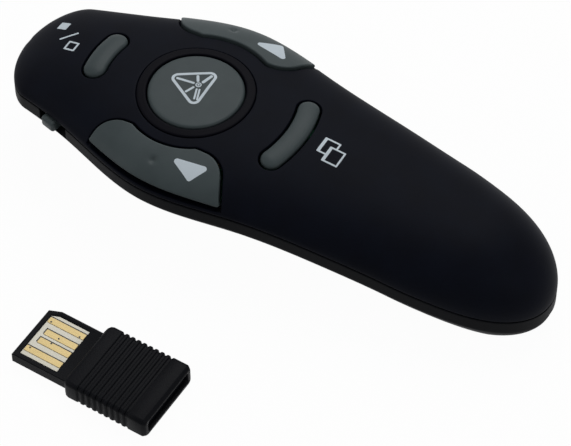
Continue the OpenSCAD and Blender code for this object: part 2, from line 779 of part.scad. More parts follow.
// ---- Receiver ----
module at_receiver() {
  translate([receiver_x, receiver_y, 0]) rotate(receiver_turn) children();
}
module rounded_plan(length, width, r) {
  translate([0, -width / 2 + r]) square([length, width - 2 * r]);
  translate([r, -width / 2]) square([length - 2 * r, width]);
  for (x = [r, length - r], y = [r - width / 2, width / 2 - r])
    translate([x, y]) circle(r);
}
module receiver_cap() color("#15161a") at_receiver() difference() {
  translate([-cap_len, 0, 0]) linear_extrude(cap_t) rounded_plan(cap_len, cap_w, cap_corner);
  // grooves between the grip ribs
  for (i = [0 : rib_count - 1]) {
    x = -3.2 - rib_pitch * i;
    translate([x - 0.3, -big, cap_t - rib_depth]) cube([0.6, 2 * big, big]);
    for (s = [-1, 1])
      translate([x - 0.3, s > 0 ? cap_w / 2 - rib_depth : -big, 0.8])
        cube([0.6, big - cap_w / 2 + rib_depth, big]);
  }
  // room for the board and its tray, open at the plug end
  translate([-cap_len + 2.4, -plug_w / 2 - 0.1, plug_low - 0.1])
    cube([cap_len, plug_w + 0.2, plug_t + 0.2]);
  // inset rear end
  translate([-cap_len - 1, -cap_w / 2 + 1.6, 1]) cube([1.8, cap_w - 3.2, cap_t - 2]);
}
// The plug's outline, with one corner cut off; inset is how far inside it the line runs
module plug_plan(inset = 0) {
  back = -cap_len + 2.6;
  polygon([[back, -plug_w / 2 + inset],
    [plug_len - plug_chamfer[0] - 0.2 * inset, -plug_w / 2 + inset],
    [plug_len - inset, -plug_w / 2 + plug_chamfer[1] + 0.67 * inset],
    [plug_len - inset, plug_w / 2 - inset], [back, plug_w / 2 - inset]]);
}
// The board lies in the tray's pocket and shows through the window in front of the cap
module receiver_tray() color("#17181b") at_receiver() difference() {
  translate([0, 0, plug_low]) linear_extrude(plug_t) plug_plan();
  translate([0, 0, plug_low + tray_t]) linear_extrude(receiver_board_t + eps) plug_plan(window_frame);
  translate([0, 0, plug_low + tray_t]) linear_extrude(plug_t) difference() {
    plug_plan(window_frame);
    translate([-1, -big / 2]) square([window_rear + 1, big]);
  }
}
module receiver_board() color("#ddd8c6") at_receiver()
  translate([0, 0, plug_low + tray_t]) linear_extrude(receiver_board_t) plug_plan(window_frame + 0.05);
module receiver_contacts() color("#c9ac6e") at_receiver()
  for (i = [0 : 3]) {
    long = i == 0 || i == 3;
    front = plug_len - window_frame - (long ? 0.15 : 1.15);
    translate([window_rear + 0.05, pin_pitch[i] - 0.6, plug_low + tray_t + receiver_board_t])
      cube([front - window_rear, 1.2, 0.12]);
  }
module receiver_chip() color("#1a1b1d") at_receiver()
  translate([-0.55 * cap_len, -1.5, plug_low + tray_t + receiver_board_t]) cube([3, 3, 0.15]);

top_cover();
bottom_cover();
battery_door();
case_screws();
laser_ring();
laser_button();
start_button();
window_button();
page_up_button();
page_down_button();
laser_switch();
start_switch();
window_switch();
page_up_switch();
page_down_switch();
laser_plunger();
start_plunger();
window_plunger();
page_up_plunger();
page_down_plunger();
main_board();
control_chip();
radio_chip();
crystal();
antenna();
chip_capacitors();
power_knob();
power_switch();
power_stem();
laser_barrel();
laser_diode();
laser_lens();
laser_window();
left_cell();
right_cell();
left_spring();
right_spring();
front_contacts();
rear_contact();
receiver_cap();
receiver_tray();
receiver_board();
receiver_contacts();
receiver_chip();
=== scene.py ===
# %% [markdown]
# # A presentation clicker and its USB receiver
# The real thing is a hand-held remote for slide shows: two moulded plastic covers, a trim ring with a
# laser button, two curved buttons, two side buttons and a small power slider. Its receiver, a short
# USB stick, lies beside it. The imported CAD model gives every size, and this lesson dresses it.

# %% Load the frame
import math
import bpy
import numpy as np
from mathutils import Matrix, Vector


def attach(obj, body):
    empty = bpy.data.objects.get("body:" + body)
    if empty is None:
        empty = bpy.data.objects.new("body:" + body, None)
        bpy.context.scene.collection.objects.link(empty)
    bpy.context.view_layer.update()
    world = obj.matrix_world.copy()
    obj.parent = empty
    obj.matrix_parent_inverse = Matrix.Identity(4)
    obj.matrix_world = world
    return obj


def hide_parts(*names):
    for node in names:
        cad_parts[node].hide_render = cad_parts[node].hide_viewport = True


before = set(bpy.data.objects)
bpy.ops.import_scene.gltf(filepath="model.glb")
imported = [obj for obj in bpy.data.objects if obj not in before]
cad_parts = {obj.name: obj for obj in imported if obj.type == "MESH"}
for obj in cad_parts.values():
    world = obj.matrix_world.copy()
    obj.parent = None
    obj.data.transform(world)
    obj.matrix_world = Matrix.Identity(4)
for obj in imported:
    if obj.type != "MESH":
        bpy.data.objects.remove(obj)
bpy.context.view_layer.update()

MM = 0.001

# %% [markdown]
# ## The camera
# A photograph fixes a viewing direction, a distance and a focal length. They were found by fitting a
# pinhole camera to the outline and to the round button, so the camera is placed by numbers and not by
# eye: two angles for the direction, then a point of the clicker and where it falls in the picture.

# %% Place the camera
PHOTO_W, PHOTO_H = 571, 446
FOCAL_PX = 2964.8
DISTANCE = 518.5
turn, tilt = math.radians(29.93), math.radians(50.9)
right = Vector((-math.cos(turn), -math.sin(turn), 0))
away = Vector((math.sin(turn), -math.cos(turn), 0))
up = away * math.sin(tilt) + Vector((0, 0, math.cos(tilt)))
back = Vector((0, 0, math.sin(tilt))) - away * math.cos(tilt)
button_top = Vector((17.6, 0, 21.07))
button_px = (196.1, 89.9)
mm_per_px = DISTANCE / FOCAL_PX
eye = (button_top - right * (button_px[0] - PHOTO_W / 2) * mm_per_px
       + up * (button_px[1] - PHOTO_H / 2) * mm_per_px + back * DISTANCE)

camera = bpy.data.objects.new("camera", bpy.data.cameras.new("camera"))
camera.data.sensor_width = 36
camera.data.lens = FOCAL_PX / PHOTO_W * camera.data.sensor_width
axes = Matrix((right, up, back)).transposed().to_4x4()
camera.matrix_world = Matrix.Translation(eye * MM) @ axes
bpy.context.scene.collection.objects.link(camera)
bpy.context.scene.camera = camera
bpy.context.scene.view_settings.view_transform = "Standard"
print("camera at", [round(c, 1) for c in eye], "mm, lens", round(camera.data.lens, 1), "mm")

# %% [markdown]
# ## Colours and nodes
# Every colour is written as the sRGB hex value that one reads off a screen, and one function turns it
# to the linear light that Blender works in. Another adds one node with its settings and its links.

# %% Two helpers for materials
def hex_colour(text):
    """An sRGB hex value as linear red, green, blue and alpha."""
    parts = [int(text[i:i + 2], 16) / 255 for i in (1, 3, 5)]
    return [p / 12.92 if p <= 0.04045 else ((p + 0.055) / 1.055) ** 2.4 for p in parts] + [1.0]


def add_node(tree, kind, settings=(), links=()):
    """One node: settings are (socket or property, value), links are (socket, where it comes from)."""
    node = tree.nodes.new(kind)
    for key, value in settings:
        if isinstance(key, int) or key in node.inputs:
            node.inputs[key].default_value = value
        else:
            setattr(node, key, value)
    for key, source in links:
        tree.links.new(source, node.inputs[key])
    return node


def empty_material(name):
    """A new material and its node tree, with nothing in it."""
    material = bpy.data.materials.new(name)
    material.use_nodes = True
    material.node_tree.nodes.clear()
    return material, material.node_tree


def per_mm(size):
    """A texture's scale, so that one cell of its pattern is size millimetres across."""
    return 1 / (size * MM)


print("#808080 is", round(hex_colour("#808080")[0], 3), "in linear light")

# %% [markdown]
# ## Moulded and painted plastics
# Nearly everything here is ABS. What tells the pieces apart is the surface: the covers have a
# soft-touch paint, matt with a fine grain and hardly any reflection; the buttons have a satin paint;
# the receiver is bare ABS from a spark-eroded mould, which has a coarser and glossier grain. All are
# one recipe: two close colours mixed by a cloudy noise, and a fine noise that bumps the surface.

# %% The plastic recipe
def plastic(name, colour, second, rough, grain, depth, specular=0.5, cloud=6.0, coat=0.0):
    """grain and depth are the size and height of the surface's grain, in mm."""
    material, tree = empty_material(name)
    place = add_node(tree, "ShaderNodeTexCoord").outputs["Object"]
    clouds = add_node(tree, "ShaderNodeTexNoise", [("Scale", per_mm(cloud)), ("Detail", 3.0)],
                      [("Vector", place)])
    blend = add_node(tree, "ShaderNodeValToRGB", links=[("Fac", clouds.outputs["Fac"])])
    blend.color_ramp.elements[0].position, blend.color_ramp.elements[1].position = 0.35, 0.65
    blend.color_ramp.elements[0].color = hex_colour(colour)
    blend.color_ramp.elements[1].color = hex_colour(second)
    grains = add_node(tree, "ShaderNodeTexNoise", [("Scale", per_mm(grain)), ("Detail", 2.0)],
                      [("Vector", place)])
    wear = add_node(tree, "ShaderNodeMapRange", [("To Min", rough - 0.05), ("To Max", rough + 0.05)],
                    [("Value", grains.outputs["Fac"])])
    bump = add_node(tree, "ShaderNodeBump", [("Distance", depth * MM), ("Strength", 1.0)],
                    [("Height", grains.outputs["Fac"])])
    shader = add_node(tree, "ShaderNodeBsdfPrincipled",
                      [("IOR", 1.5), ("Specular IOR Level", specular), ("Coat Weight", coat)],
                      [("Base Color", blend.outputs["Color"]), ("Roughness", wear.outputs["Result"]),
                       ("Normal", bump.outputs["Normal"])])
    add_node(tree, "ShaderNodeOutputMaterial", links=[("Surface", shader.outputs["BSDF"])])
    return material


# %% Plastics of the clicker and the receiver
# The real grain is about 0.05 mm, too fine to show at this distance: it is drawn at 0.25 mm.
soft_touch = plastic("soft_touch_paint_on_ABS", "#070911", "#090c15", 0.5, 0.25, 0.012, specular=0.035)
lower_case = plastic("matt_moulded_ABS", "#050609", "#07080c", 0.48, 0.3, 0.02, specular=0.04)
ring_abs = plastic("satin_moulded_ABS", "#04040a", "#06060d", 0.4, 0.2, 0.008, specular=0.03)
button_paint = plastic("satin_paint_on_ABS", "#353e40", "#3a4345", 0.42, 0.22, 0.008, specular=0.14)
# A lighter and glossier copy of the same satin paint, used for the side buttons and the power knob: the extra
# lightness is painted light, not a second paint.
painted_lighter_side_paint = plastic("satin_paint_on_ABS_painted_lighter", "#394244", "#3f484a", 0.42, 0.22, 0.008, specular=0.15)
receiver_abs = plastic("spark_eroded_ABS", "#05060a", "#08090e", 0.42, 0.3, 0.02, specular=0.05)
switch_resin = plastic("glass_filled_nylon", "#1f2226", "#25282c", 0.5, 0.3, 0.01)
plunger_nylon = plastic("natural_nylon", "#d6d2c6", "#dedad0", 0.45, 0.3, 0.005)
chip_epoxy = plastic("epoxy_moulding_compound", "#17181a", "#1c1d1f", 0.55, 0.2, 0.008)
pad_ink = plastic("pad_printed_ink", "#c6d1d9", "#ced9e1", 0.5, 0.2, 0.003, specular=0.2)
pale_board = plastic("pale_solder_mask", "#efebda", "#f5f1e2", 0.4, 0.4, 0.004, specular=0.3)
print(len(bpy.data.materials), "materials so far")

# %% [markdown]
# ## Metals, glass, circuit board and cells
# Gold-plated contacts are soft gold over nickel on copper, rubbed in one direction by every plugging,
# so a stretched noise draws fine scratches along the plug. The steel springs and plates are bright
# and bare. The circuit board is green solder mask with copper tracks that show as lighter lines.

# %% The metal recipe
def metal(name, colour, second, rough, scratch, along=(1.0, 1.0, 1.0)):
    """scratch is the width of the fine marks in mm, and along stretches them."""
    material, tree = empty_material(name)
    place = add_node(tree, "ShaderNodeTexCoord").outputs["Object"]
    stretch = add_node(tree, "ShaderNodeMapping", [("Scale", along)], [("Vector", place)])
    marks = add_node(tree, "ShaderNodeTexNoise", [("Scale", per_mm(scratch)), ("Detail", 4.0)],
                     [("Vector", stretch.outputs["Vector"])])
    tint = add_node(tree, "ShaderNodeValToRGB", links=[("Fac", marks.outputs["Fac"])])
    tint.color_ramp.elements[0].position, tint.color_ramp.elements[1].position = 0.3, 0.7
    tint.color_ramp.elements[0].color = hex_colour(colour)
    tint.color_ramp.elements[1].color = hex_colour(second)
    polish = add_node(tree, "ShaderNodeMapRange", [("To Min", rough - 0.08), ("To Max", rough + 0.08)],
                      [("Value", marks.outputs["Fac"])])
    bump = add_node(tree, "ShaderNodeBump", [("Distance", 0.004 * MM)], [("Height", marks.outputs["Fac"])])
    shader = add_node(tree, "ShaderNodeBsdfPrincipled", [("Metallic", 1.0)],
                      [("Base Color", tint.outputs["Color"]), ("Roughness", polish.outputs["Result"]),
                       ("Normal", bump.outputs["Normal"])])
    add_node(tree, "ShaderNodeOutputMaterial", links=[("Surface", shader.outputs["BSDF"])])
    return material


gold = metal("gold_plate_on_nickel", "#8b7b55", "#9b8b66", 0.4, 0.12, (0.08, 1.0, 1.0))
steel = metal("nickel_plated_steel", "#a8a9aa", "#c2c3c4", 0.3, 0.3)
brass = metal("turned_brass", "#a8853f", "#bb9850", 0.3, 0.15, (1.0, 0.1, 0.1))
copper = metal("tinned_copper_trace", "#b98f58", "#cda56c", 0.35, 0.2)
ceramic = plastic("ceramic_capacitor", "#a98c62", "#b79a70", 0.4, 0.2, 0.004)

# %% The circuit board, the cells and the glass
def circuit_board():
    """Green solder mask over copper: straight tracks on a grid of 1 mm."""
    material, tree = empty_material("green_solder_mask_on_FR4")
    place = add_node(tree, "ShaderNodeTexCoord").outputs["Object"]
    tracks = add_node(tree, "ShaderNodeTexBrick",
                      [("Scale", per_mm(1.0)), ("Mortar Size", 0.12), ("Brick Width", 3.0),
                       ("Color1", hex_colour("#14523a")), ("Color2", hex_colour("#175a40")),
                       ("Mortar", hex_colour("#2b7a55"))], [("Vector", place)])
    bump = add_node(tree, "ShaderNodeBump", [("Distance", 0.03 * MM), ("Strength", 0.5)],
                    [("Height", tracks.outputs["Fac"])])
    shader = add_node(tree, "ShaderNodeBsdfPrincipled", [("Roughness", 0.3), ("IOR", 1.5)],
                      [("Base Color", tracks.outputs["Color"]), ("Normal", bump.outputs["Normal"])])
    add_node(tree, "ShaderNodeOutputMaterial", links=[("Surface", shader.outputs["BSDF"])])
    return material


def glass(name, colour, rough):
    """Optical plastic with a little dust on it."""
    material, tree = empty_material(name)
    place = add_node(tree, "ShaderNodeTexCoord").outputs["Object"]
    dust = add_node(tree, "ShaderNodeTexNoise", [("Scale", per_mm(0.4))], [("Vector", place)])
    haze = add_node(tree, "ShaderNodeMapRange", [("To Min", rough), ("To Max", rough + 0.06)],
                    [("Value", dust.outputs["Fac"])])
    shader = add_node(tree, "ShaderNodeBsdfPrincipled",
                      [("Base Color", hex_colour(colour)), ("IOR", 1.49), ("Transmission Weight", 0.6)],
                      [("Roughness", haze.outputs["Result"])])
    add_node(tree, "ShaderNodeOutputMaterial", links=[("Surface", shader.outputs["BSDF"])])
    return material


green_board = circuit_board()
cell_sleeve = plastic("printed_PVC_sleeve", "#2b4a86", "#31508c", 0.3, 0.5, 0.004, coat=0.3)
lens_plastic = glass("clear_acrylic_lens", "#e6eef0", 0.03)
red_window = glass("dark_red_acrylic", "#5a1014", 0.05)
print(len(bpy.data.materials), "materials in all")

# %% [markdown]
# ## The lines that shape the body
# The CAD model is a loft: at every place along the body a half-width, a seam height and a crown height
# give the section. The same lines are repeated here with the same numbers, so that a smoother and
# finer skin can be laid exactly where the solids are. numpy works out a whole grid of points at once.

# %% Sizes in millimetres, as in the CAD model
# A RIM is how round an edge is, a SKIN how deep a wall goes, and OUTSIDE stands for far from an outline.
HALF_LEN = 53.1
SIDE_CONTROLS = [15.2, 13.5, 15.8, 17.5, 22.6, 14.4, 10.4]
NOSE_ROUND, TAIL_ROUND = 6.7, 24.8
CROWN_Z, CROWN_X, CROWN_FALL, CROWN_SKEW = 21.0, 13.7, 0.00164, 0.000008
NOSE_CAP, TAIL_CAP = 16.5, 15.1
SEAM_Z, SEAM_X, SEAM_FALL, SEAM_GAP = 15.8, 21.4, 0.0018, 0.25
DOME_POWER = 2.1
RIM_H, BELLY_SLOPE, BELLY_NOSE, BELLY_TAIL = 2.8, 0.92, 20.0, 14.0
WALL = 1.6
COVER_SKIN, COVER_RIM, BUTTON_SKIN = 1.3, 0.14, 2.2
RING_X, RING_R, RING_RIM, RING_GAP = 17.6, 10.5, 0.3, 0.12
LASER_R, LASER_RIM, LASER_RAISE, LASER_DISH = 8.6, 0.6, 0.15, 0.06
START_ARC, START_W, START_SPREAD = 19.1, 4.4, math.radians(11)
WINDOW_ARC, WINDOW_W, WINDOW_SPREAD = 20.1, 4.25, math.radians(19)
ARC_RIM, ARC_CROWN, SIDE_RIM = 0.7, 0.06, 0.28
PILLOW, DIMPLE_R, DIMPLE_DEPTH = 0.22, 0.55, 0.4
RAISE, GAP, SIDE_GAP = 0.45, 0.2, 0.5
PAGE_INNER, PAGE_EDGE, OPENING_EDGE = 13.0, 1.6, 0.75
FRONT_LOBE, FRONT_LOBE_R, FRONT_SPLAY = (24.9, 16.0), 4.4, (26.1, 28.0)
REAR_LOBE, REAR_LOBE_R, REAR_SPLAY = (8.9, 15.9), 4.8, (2.9, 27.9)
FAR_SHIFT, FAR_OUT = 1.1, 1.2
SLOT_X, SLOT_LEN, SLOT_H, SLOT_REACH, SLIDER_TURN = 38.9, 7.0, 2.5, 3, math.radians(-15)
LASER_Z, LASER_HOLE, NOSE_FROM = 12.79, 2.1, 40
DOOR_REAR, DOOR_FRONT, DOOR_HALF, DOOR_GAP = -38.6, 8.65, 10.8, 0.3
DOOR_CORNER, BAY_CORNER, BAY_TOP = 0.6, 0.8, 7
SCREWS, SCREW_HOLE, SCREW_TOP = [31.3, -46.8], 1.8, 9
OUTSIDE = 99

# %% The lines along the body
padded_controls = np.array([2 * SIDE_CONTROLS[0] - SIDE_CONTROLS[1]] + SIDE_CONTROLS
                           + [2 * SIDE_CONTROLS[-1] - SIDE_CONTROLS[-2]])


def side_line(x):
    """Half the width before the ends are rounded: a cubic B-spline over SIDE_CONTROLS."""
    u = (x + HALF_LEN) / (2 * HALF_LEN) * (len(SIDE_CONTROLS) - 1)
    i = np.clip(np.floor(u), 0, len(SIDE_CONTROLS) - 2).astype(int)
    t = u - i
    c = padded_controls
    return ((1 - t) ** 3 * c[i] + (3 * t ** 3 - 6 * t * t + 4) * c[i + 1]
            + (-3 * t ** 3 + 3 * t * t + 3 * t + 1) * c[i + 2] + t ** 3 * c[i + 3]) / 6


def round_in(gap, reach):
    """0 at an end of the body and 1 from reach on, as a quarter round."""
    return np.sqrt(np.clip(1 - (1 - np.clip(gap / reach, 0, 1)) ** 2, 0, 1))


def half_width(x):
    """Half the width of the outline, with both ends rounded."""
    return side_line(x) * round_in(HALF_LEN - x, NOSE_ROUND) * round_in(HALF_LEN + x, TAIL_ROUND)


def seam(x):
    """The height of the line where the two covers meet."""
    return SEAM_Z - SEAM_FALL * (x - SEAM_X) ** 2


def dome_height(x):
    """How far the crown stands above the seam."""
    u = x - CROWN_X
    crown = CROWN_Z - CROWN_FALL * u * u - CROWN_SKEW * u ** 3
    return (crown - seam(x)) * round_in(HALF_LEN - x, NOSE_CAP) * round_in(HALF_LEN + x, TAIL_CAP)


def dome_z(x, y):
    """The height of the dome over a place in plan."""
    s = np.clip(np.abs(y) / half_width(x), 0, 0.9999)
    return seam(x) + dome_height(x) * (1 - s ** DOME_POWER) ** (1 / DOME_POWER)


def belly_low(x):
    """How high the underside lies: flat on the table, and rising at both ends."""
    deck = seam(x) - RIM_H
    return deck - deck * round_in(HALF_LEN - x, BELLY_NOSE) * round_in(HALF_LEN + x, BELLY_TAIL)


slider_y = float(half_width(np.array(SLOT_X))) - 0.05
slider_z = float(seam(np.array(SLOT_X))) - SEAM_GAP - SLOT_H / 2
stations = np.linspace(-HALF_LEN, HALF_LEN, 200)
print("widest:", round(2 * float(half_width(stations).max()), 1), "mm; slider at y", round(slider_y, 2))

# %% [markdown]
# ## A skin cut to an outline
# A cover with holes could be cut with Booleans, but these leave long thin faces that shade badly on a
# curved surface. Here a skin is a grid of points on the true surface, and a field that says how far
# inside the outline each point lies. Cells that cross the outline are cut where the field passes
# the rim, a rounded rim is rolled over that edge, and the wall is given its thickness.

# %% Cut a grid to its outline
def unit(v):
    """The same directions, each with a length of 1."""
    return v / np.maximum(np.linalg.norm(v, axis=-1, keepdims=True), 1e-9)


def grid_frame(points, field, inside):
    """Normals, the direction out over the rim, the field as a distance, and whether faces turn over."""
    pu, pv = np.gradient(points, axis=0), np.gradient(points, axis=1)
    normals = unit(np.cross(pu, pv))
    flip = (normals * (points - np.array(inside))).sum() < 0
    if flip:
        normals = -normals
    fu, fv = np.gradient(field)
    e, f, g = (pu * pu).sum(-1), (pu * pv).sum(-1), (pv * pv).sum(-1)
    slope = (g * fu - f * fv)[..., None] * pu + (e * fv - f * fu)[..., None] * pv
    slope /= np.maximum(e * g - f * f, 1e-9)[..., None]
    steep = np.linalg.norm(slope, axis=-1)
    return normals, -unit(slope), field / np.clip(steep, 0.4, 2.0), flip


def cut_grid(points, field, rim, inside):
    """Corners, faces, normals and outward directions of what lies more than rim inside."""
    normals, outward, field, flip = grid_frame(points, field, inside)
    rows, cols = field.shape
    keep = field > rim
    data = np.concatenate([points, normals, outward], axis=-1).reshape(-1, 9)
    corners, faces, crossing = [data], [], {}
    extra, count = [], rows * cols

    def between(a, b):
        nonlocal count
        key = (min(a, b), max(a, b))
        if key not in crossing:
            fa, fb = field.flat[a] - rim, field.flat[b] - rim
            t = fa / (fa - fb)
            extra.append(data[a] * (1 - t) + data[b] * t)
            crossing[key] = count
            count += 1
        return crossing[key]

    for i, j in zip(*np.nonzero(keep[:-1, :-1] | keep[1:, :-1] | keep[1:, 1:] | keep[:-1, 1:])):
        a = i * cols + j
        loop = [a, a + cols, a + cols + 1, a + 1]
        face = []
        for here, after in zip(loop, loop[1:] + loop[:1]):
            if keep.flat[here]:
                face.append(here)
            if keep.flat[here] != keep.flat[after]:
                face.append(between(here, after))
        faces.append(face[::-1] if flip else face)
    return np.concatenate(corners + ([np.array(extra)] if extra else [])), faces


# %% Weld, roll the rim and close the wall
def weld(data, faces, size=0.002):
    """Joins corners that meet, and drops what no face uses."""
    used = np.unique(np.concatenate([np.array(face) for face in faces]))
    keys, place = np.unique(np.round(data[used, :3] / size).astype(int), axis=0, return_inverse=True)
    lookup = dict(zip(used.tolist(), place.ravel().tolist()))
    joined = np.zeros((len(keys), 9))
    number = np.zeros(len(keys))
    np.add.at(joined, place.ravel(), data[used])
    np.add.at(number, place.ravel(), 1)
    joined /= number[:, None]
    clean = []
    for face in faces:
        loop = [lookup[k] for k in face]
        loop = [k for k, before in zip(loop, loop[-1:] + loop[:-1]) if k != before]
        if len(set(loop)) == len(loop) > 2:
            clean.append(loop)
    return joined[:, :3], unit(joined[:, 3:6]), unit(joined[:, 6:]), clean


def rim_edges(faces):
    """The edges that only one face uses."""
    edges = {}
    for face in faces:
        for a, b in zip(face, face[1:] + face[:1]):
            if (b, a) in edges:
                del edges[(b, a)]
            else:
                edges[(a, b)] = True
    return list(edges)


def skin(points, field, rim, thick, inside=(0, 0, 12), steps=3):
    """A closed wall: corners in mm, and faces."""
    data, faces = cut_grid(points, field, rim, inside)
    spots, normals, outward, faces = weld(data, faces)
    edges = rim_edges(faces)
    border = sorted({k for edge in edges for k in edge})
    layers, number = [spots], len(spots)
    chain = {k: [k] for k in border}
    rounds = [(math.sin(a), 1 - math.cos(a)) for a in
              [math.pi / 2 * (s + 1) / steps for s in range(steps)]] if rim > 0 else []
    for out, down in rounds:
        layers.append(spots[border] + outward[border] * rim * out - normals[border] * rim * down)
        for n, k in enumerate(border):
            chain[k].append(number + n)
        number += len(border)
    under = spots - normals * thick
    under[border] += outward[border] * rim
    layers.append(under)
    for k in border:
        chain[k].append(number + k)
    solid = list(faces) + [[number + k for k in reversed(face)] for face in faces]
    for a, b in edges:
        for (a0, a1), (b0, b1) in zip(zip(chain[a], chain[a][1:]), zip(chain[b], chain[b][1:])):
            solid.append([b0, a0, a1, b1])
    return np.concatenate(layers), solid


# %% Make a piece of it
made = []


def piece(name, shape, material, body, stands_for=(), crease=40):
    """One object from corners in mm and faces, with its finish, its body and the nodes it replaces."""
    corners, faces = shape
    mesh = bpy.data.meshes.new(name)
    mesh.from_pydata((np.asarray(corners) * MM).tolist(), [], faces)
    mesh.validate()
    mesh.shade_smooth()
    mesh.set_sharp_from_angle(angle=math.radians(crease))
    mesh.materials.append(material)
    obj = bpy.data.objects.new(name, mesh)
    bpy.context.scene.collection.objects.link(obj)
    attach(obj, body)
    if stands_for:
        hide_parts(*stands_for)
    made.append(name)
    print(name, len(mesh.vertices), "corners", len(mesh.polygons), "faces")
    return obj


def together(*shapes):
    """Several shapes as one."""
    corners, faces, start = [], [], 0
    for spots, loops in shapes:
        corners.append(np.asarray(spots))
        faces += [[k + start for k in loop] for loop in loops]
        start += len(spots)
    return np.concatenate(corners), faces


def loft(rings, closed=False):
    """Rings of equally many corners, skinned in order, with a face over each end."""
    rings = [np.asarray(ring, dtype=float) for ring in rings]
    n = len(rings[0])
    faces = []
    for r in range(len(rings) - (0 if closed else 1)):
        a, b = r * n, (r + 1) % len(rings) * n
        faces += [[a + k, a + (k + 1) % n, b + (k + 1) % n, b + k] for k in range(n)]
    if not closed:
        faces += [list(range(n))[::-1], [(len(rings) - 1) * n + k for k in range(n)]]
    corners = np.concatenate(rings)
    volume = 0.0
    for face in faces:
        p = corners[face]
        volume += sum(np.dot(p[0], np.cross(p[k], p[k + 1])) for k in range(1, len(face) - 1))
    if volume < 0:
        faces = [face[::-1] for face in faces]
    return corners, faces


# %% [markdown]
# ## Where the buttons are
# Each outline is a small function of a point: how many millimetres it lies inside. The trim ring is a
# circle, the curved buttons are a stroke along an arc round it, and a side button is two round lobes
# with the ring's neighbourhood taken away. The covers use the same functions with a gap added.

# %% The outlines as distances
def from_arc(x, y, radius, spread, side):
    """Distance in plan from an arc about the laser button, ahead (side 1) or behind (side -1)."""
    dx, dy = side * (x - RING_X), np.abs(y)
    angle = np.arctan2(dy, dx)
    on_arc = np.abs(np.hypot(dx, dy) - radius)
    end = np.hypot(dx - radius * math.cos(spread), dy - radius * math.sin(spread))
    return np.where(angle < spread, on_arc, end)


def from_line(x, y, a, b):
    """Distance from the stretch a to b, and how far along it the nearest point is, 0 to 1."""
    ax, ay = b[0] - a[0], b[1] - a[1]
    t = np.clip(((x - a[0]) * ax + (y - a[1]) * ay) / (ax * ax + ay * ay), 0, 1)
    return np.hypot(x - a[0] - ax * t, y - a[1] - ay * t), t


def in_side_plan(x, y):
    """How far inside a side button's outline, seen from above."""
    shift, out = np.where(y < 0, FAR_SHIFT, 0), np.where(y < 0, FAR_OUT, 0)
    y = np.abs(y)
    lobes = []
    for a, b, ra, rb in [(FRONT_LOBE, REAR_LOBE, FRONT_LOBE_R, REAR_LOBE_R),
                         (FRONT_LOBE, FRONT_SPLAY, FRONT_LOBE_R, FRONT_LOBE_R),
                         (REAR_LOBE, REAR_SPLAY, REAR_LOBE_R, REAR_LOBE_R)]:
        far, t = from_line(x - shift, y - out, a, b)
        lobes.append(ra + (rb - ra) * t - far)
    return np.minimum(np.maximum.reduce(lobes), np.hypot(x - RING_X, y) - PAGE_INNER - out)


def laser_hole(y, z, x):
    """How far outside the laser's hole in the nose."""
    return np.where(x > NOSE_FROM, np.hypot(y, z - LASER_Z) - LASER_HOLE, OUTSIDE)


# %% [markdown]
# ## The top cover
# On the real object it is one injection moulding with a soft-touch paint. It is laid out as a grid
# along and across the dome, and the ring, the buttons and the laser's hole are cut from it.

# %% The dome's grid and the top cover
def dome_grid(along, across):
    """Points of the dome: along is x in mm, across the angle from the seam on +Y, in degrees."""
    x, a = np.meshgrid(along, np.radians(across), indexing="ij")
    c, s = np.cos(a), np.clip(np.sin(a), 0, 1)
    y = half_width(x) * np.sign(c) * np.abs(c) ** (2 / DOME_POWER)
    return np.stack([x, y, seam(x) + dome_height(x) * s ** (2 / DOME_POWER)], axis=-1)


def top_field(p):
    """How far inside the top cover: over the seam and clear of the ring and the buttons."""
    x, y, z = p[..., 0], p[..., 1], p[..., 2]
    height = z - seam(x)
    side = np.minimum(in_side_plan(x, y) + SIDE_GAP, height - OPENING_EDGE)
    return np.minimum.reduce([height, np.hypot(x - RING_X, y) - RING_R - RING_GAP,
                              from_arc(x, y, START_ARC, START_SPREAD, 1) - START_W / 2 - GAP,
                              from_arc(x, y, WINDOW_ARC, WINDOW_SPREAD, -1) - WINDOW_W / 2 - GAP,
                              -side, laser_hole(y, z, x)])


along_body = HALF_LEN * np.sin(np.radians(np.linspace(-90, 90, 281)))
dome = dome_grid(along_body, np.linspace(0, 180, 141))
piece("top_cover_skin", skin(dome, top_field(dome), COVER_RIM, COVER_SKIN), soft_touch, "clicker",
      ["top_cover"])

# %% [markdown]
# ## The bottom cover
# Under the seam it has an upright rim and then turns in towards the flat base, so that the clicker
# looks slim from above. The battery door, the power slot, the laser and two screws go through it.

# %% The belly's grid and the bottom cover
def belly_side_grid(x, rise, turns, flat):
    """y and z across one side: the upright rim, a cubic curve in to the foot, and the flat base."""
    w, top, low = half_width(x), seam(x), belly_low(x)
    turn = np.maximum(low, top - RIM_H)
    foot = np.maximum(w * 0.3, w - BELLY_SLOPE * (turn - low))
    ys, zs = [], []
    for k in range(rise):
        ys.append(w)
        zs.append(top + (turn - top) * k / rise)
    y_curve = [w, w, foot + np.minimum(2, (w - foot) / 2), foot]
    z_curve = [turn, np.maximum(low, turn - 0.7), low, low]
    for k in range(turns + 1):
        u = k / turns
        m = 1 - u
        weights = [m ** 3, 3 * m * m * u, 3 * m * u * u, u ** 3]
        ys.append(sum(weight * y for weight, y in zip(weights, y_curve)))
        zs.append(sum(weight * z for weight, z in zip(weights, z_curve)))
    for k in range(1, flat + 1):
        ys.append(foot * (1 - k / flat))
        zs.append(low)
    return ys, zs


def belly_grid(along, rise=9, turns=22, flat=16):
    """Points of the belly, from the seam on +Y round to the seam on -Y."""
    x = np.asarray(along, dtype=float)
    ys, zs = belly_side_grid(x, rise, turns, flat)
    left = [np.stack([x, y, z], axis=-1) for y, z in zip(ys, zs)]
    other = [np.stack([x, -y, z], axis=-1) for y, z in zip(ys[:-1], zs[:-1])][::-1]
    return np.stack(left + other, axis=1)


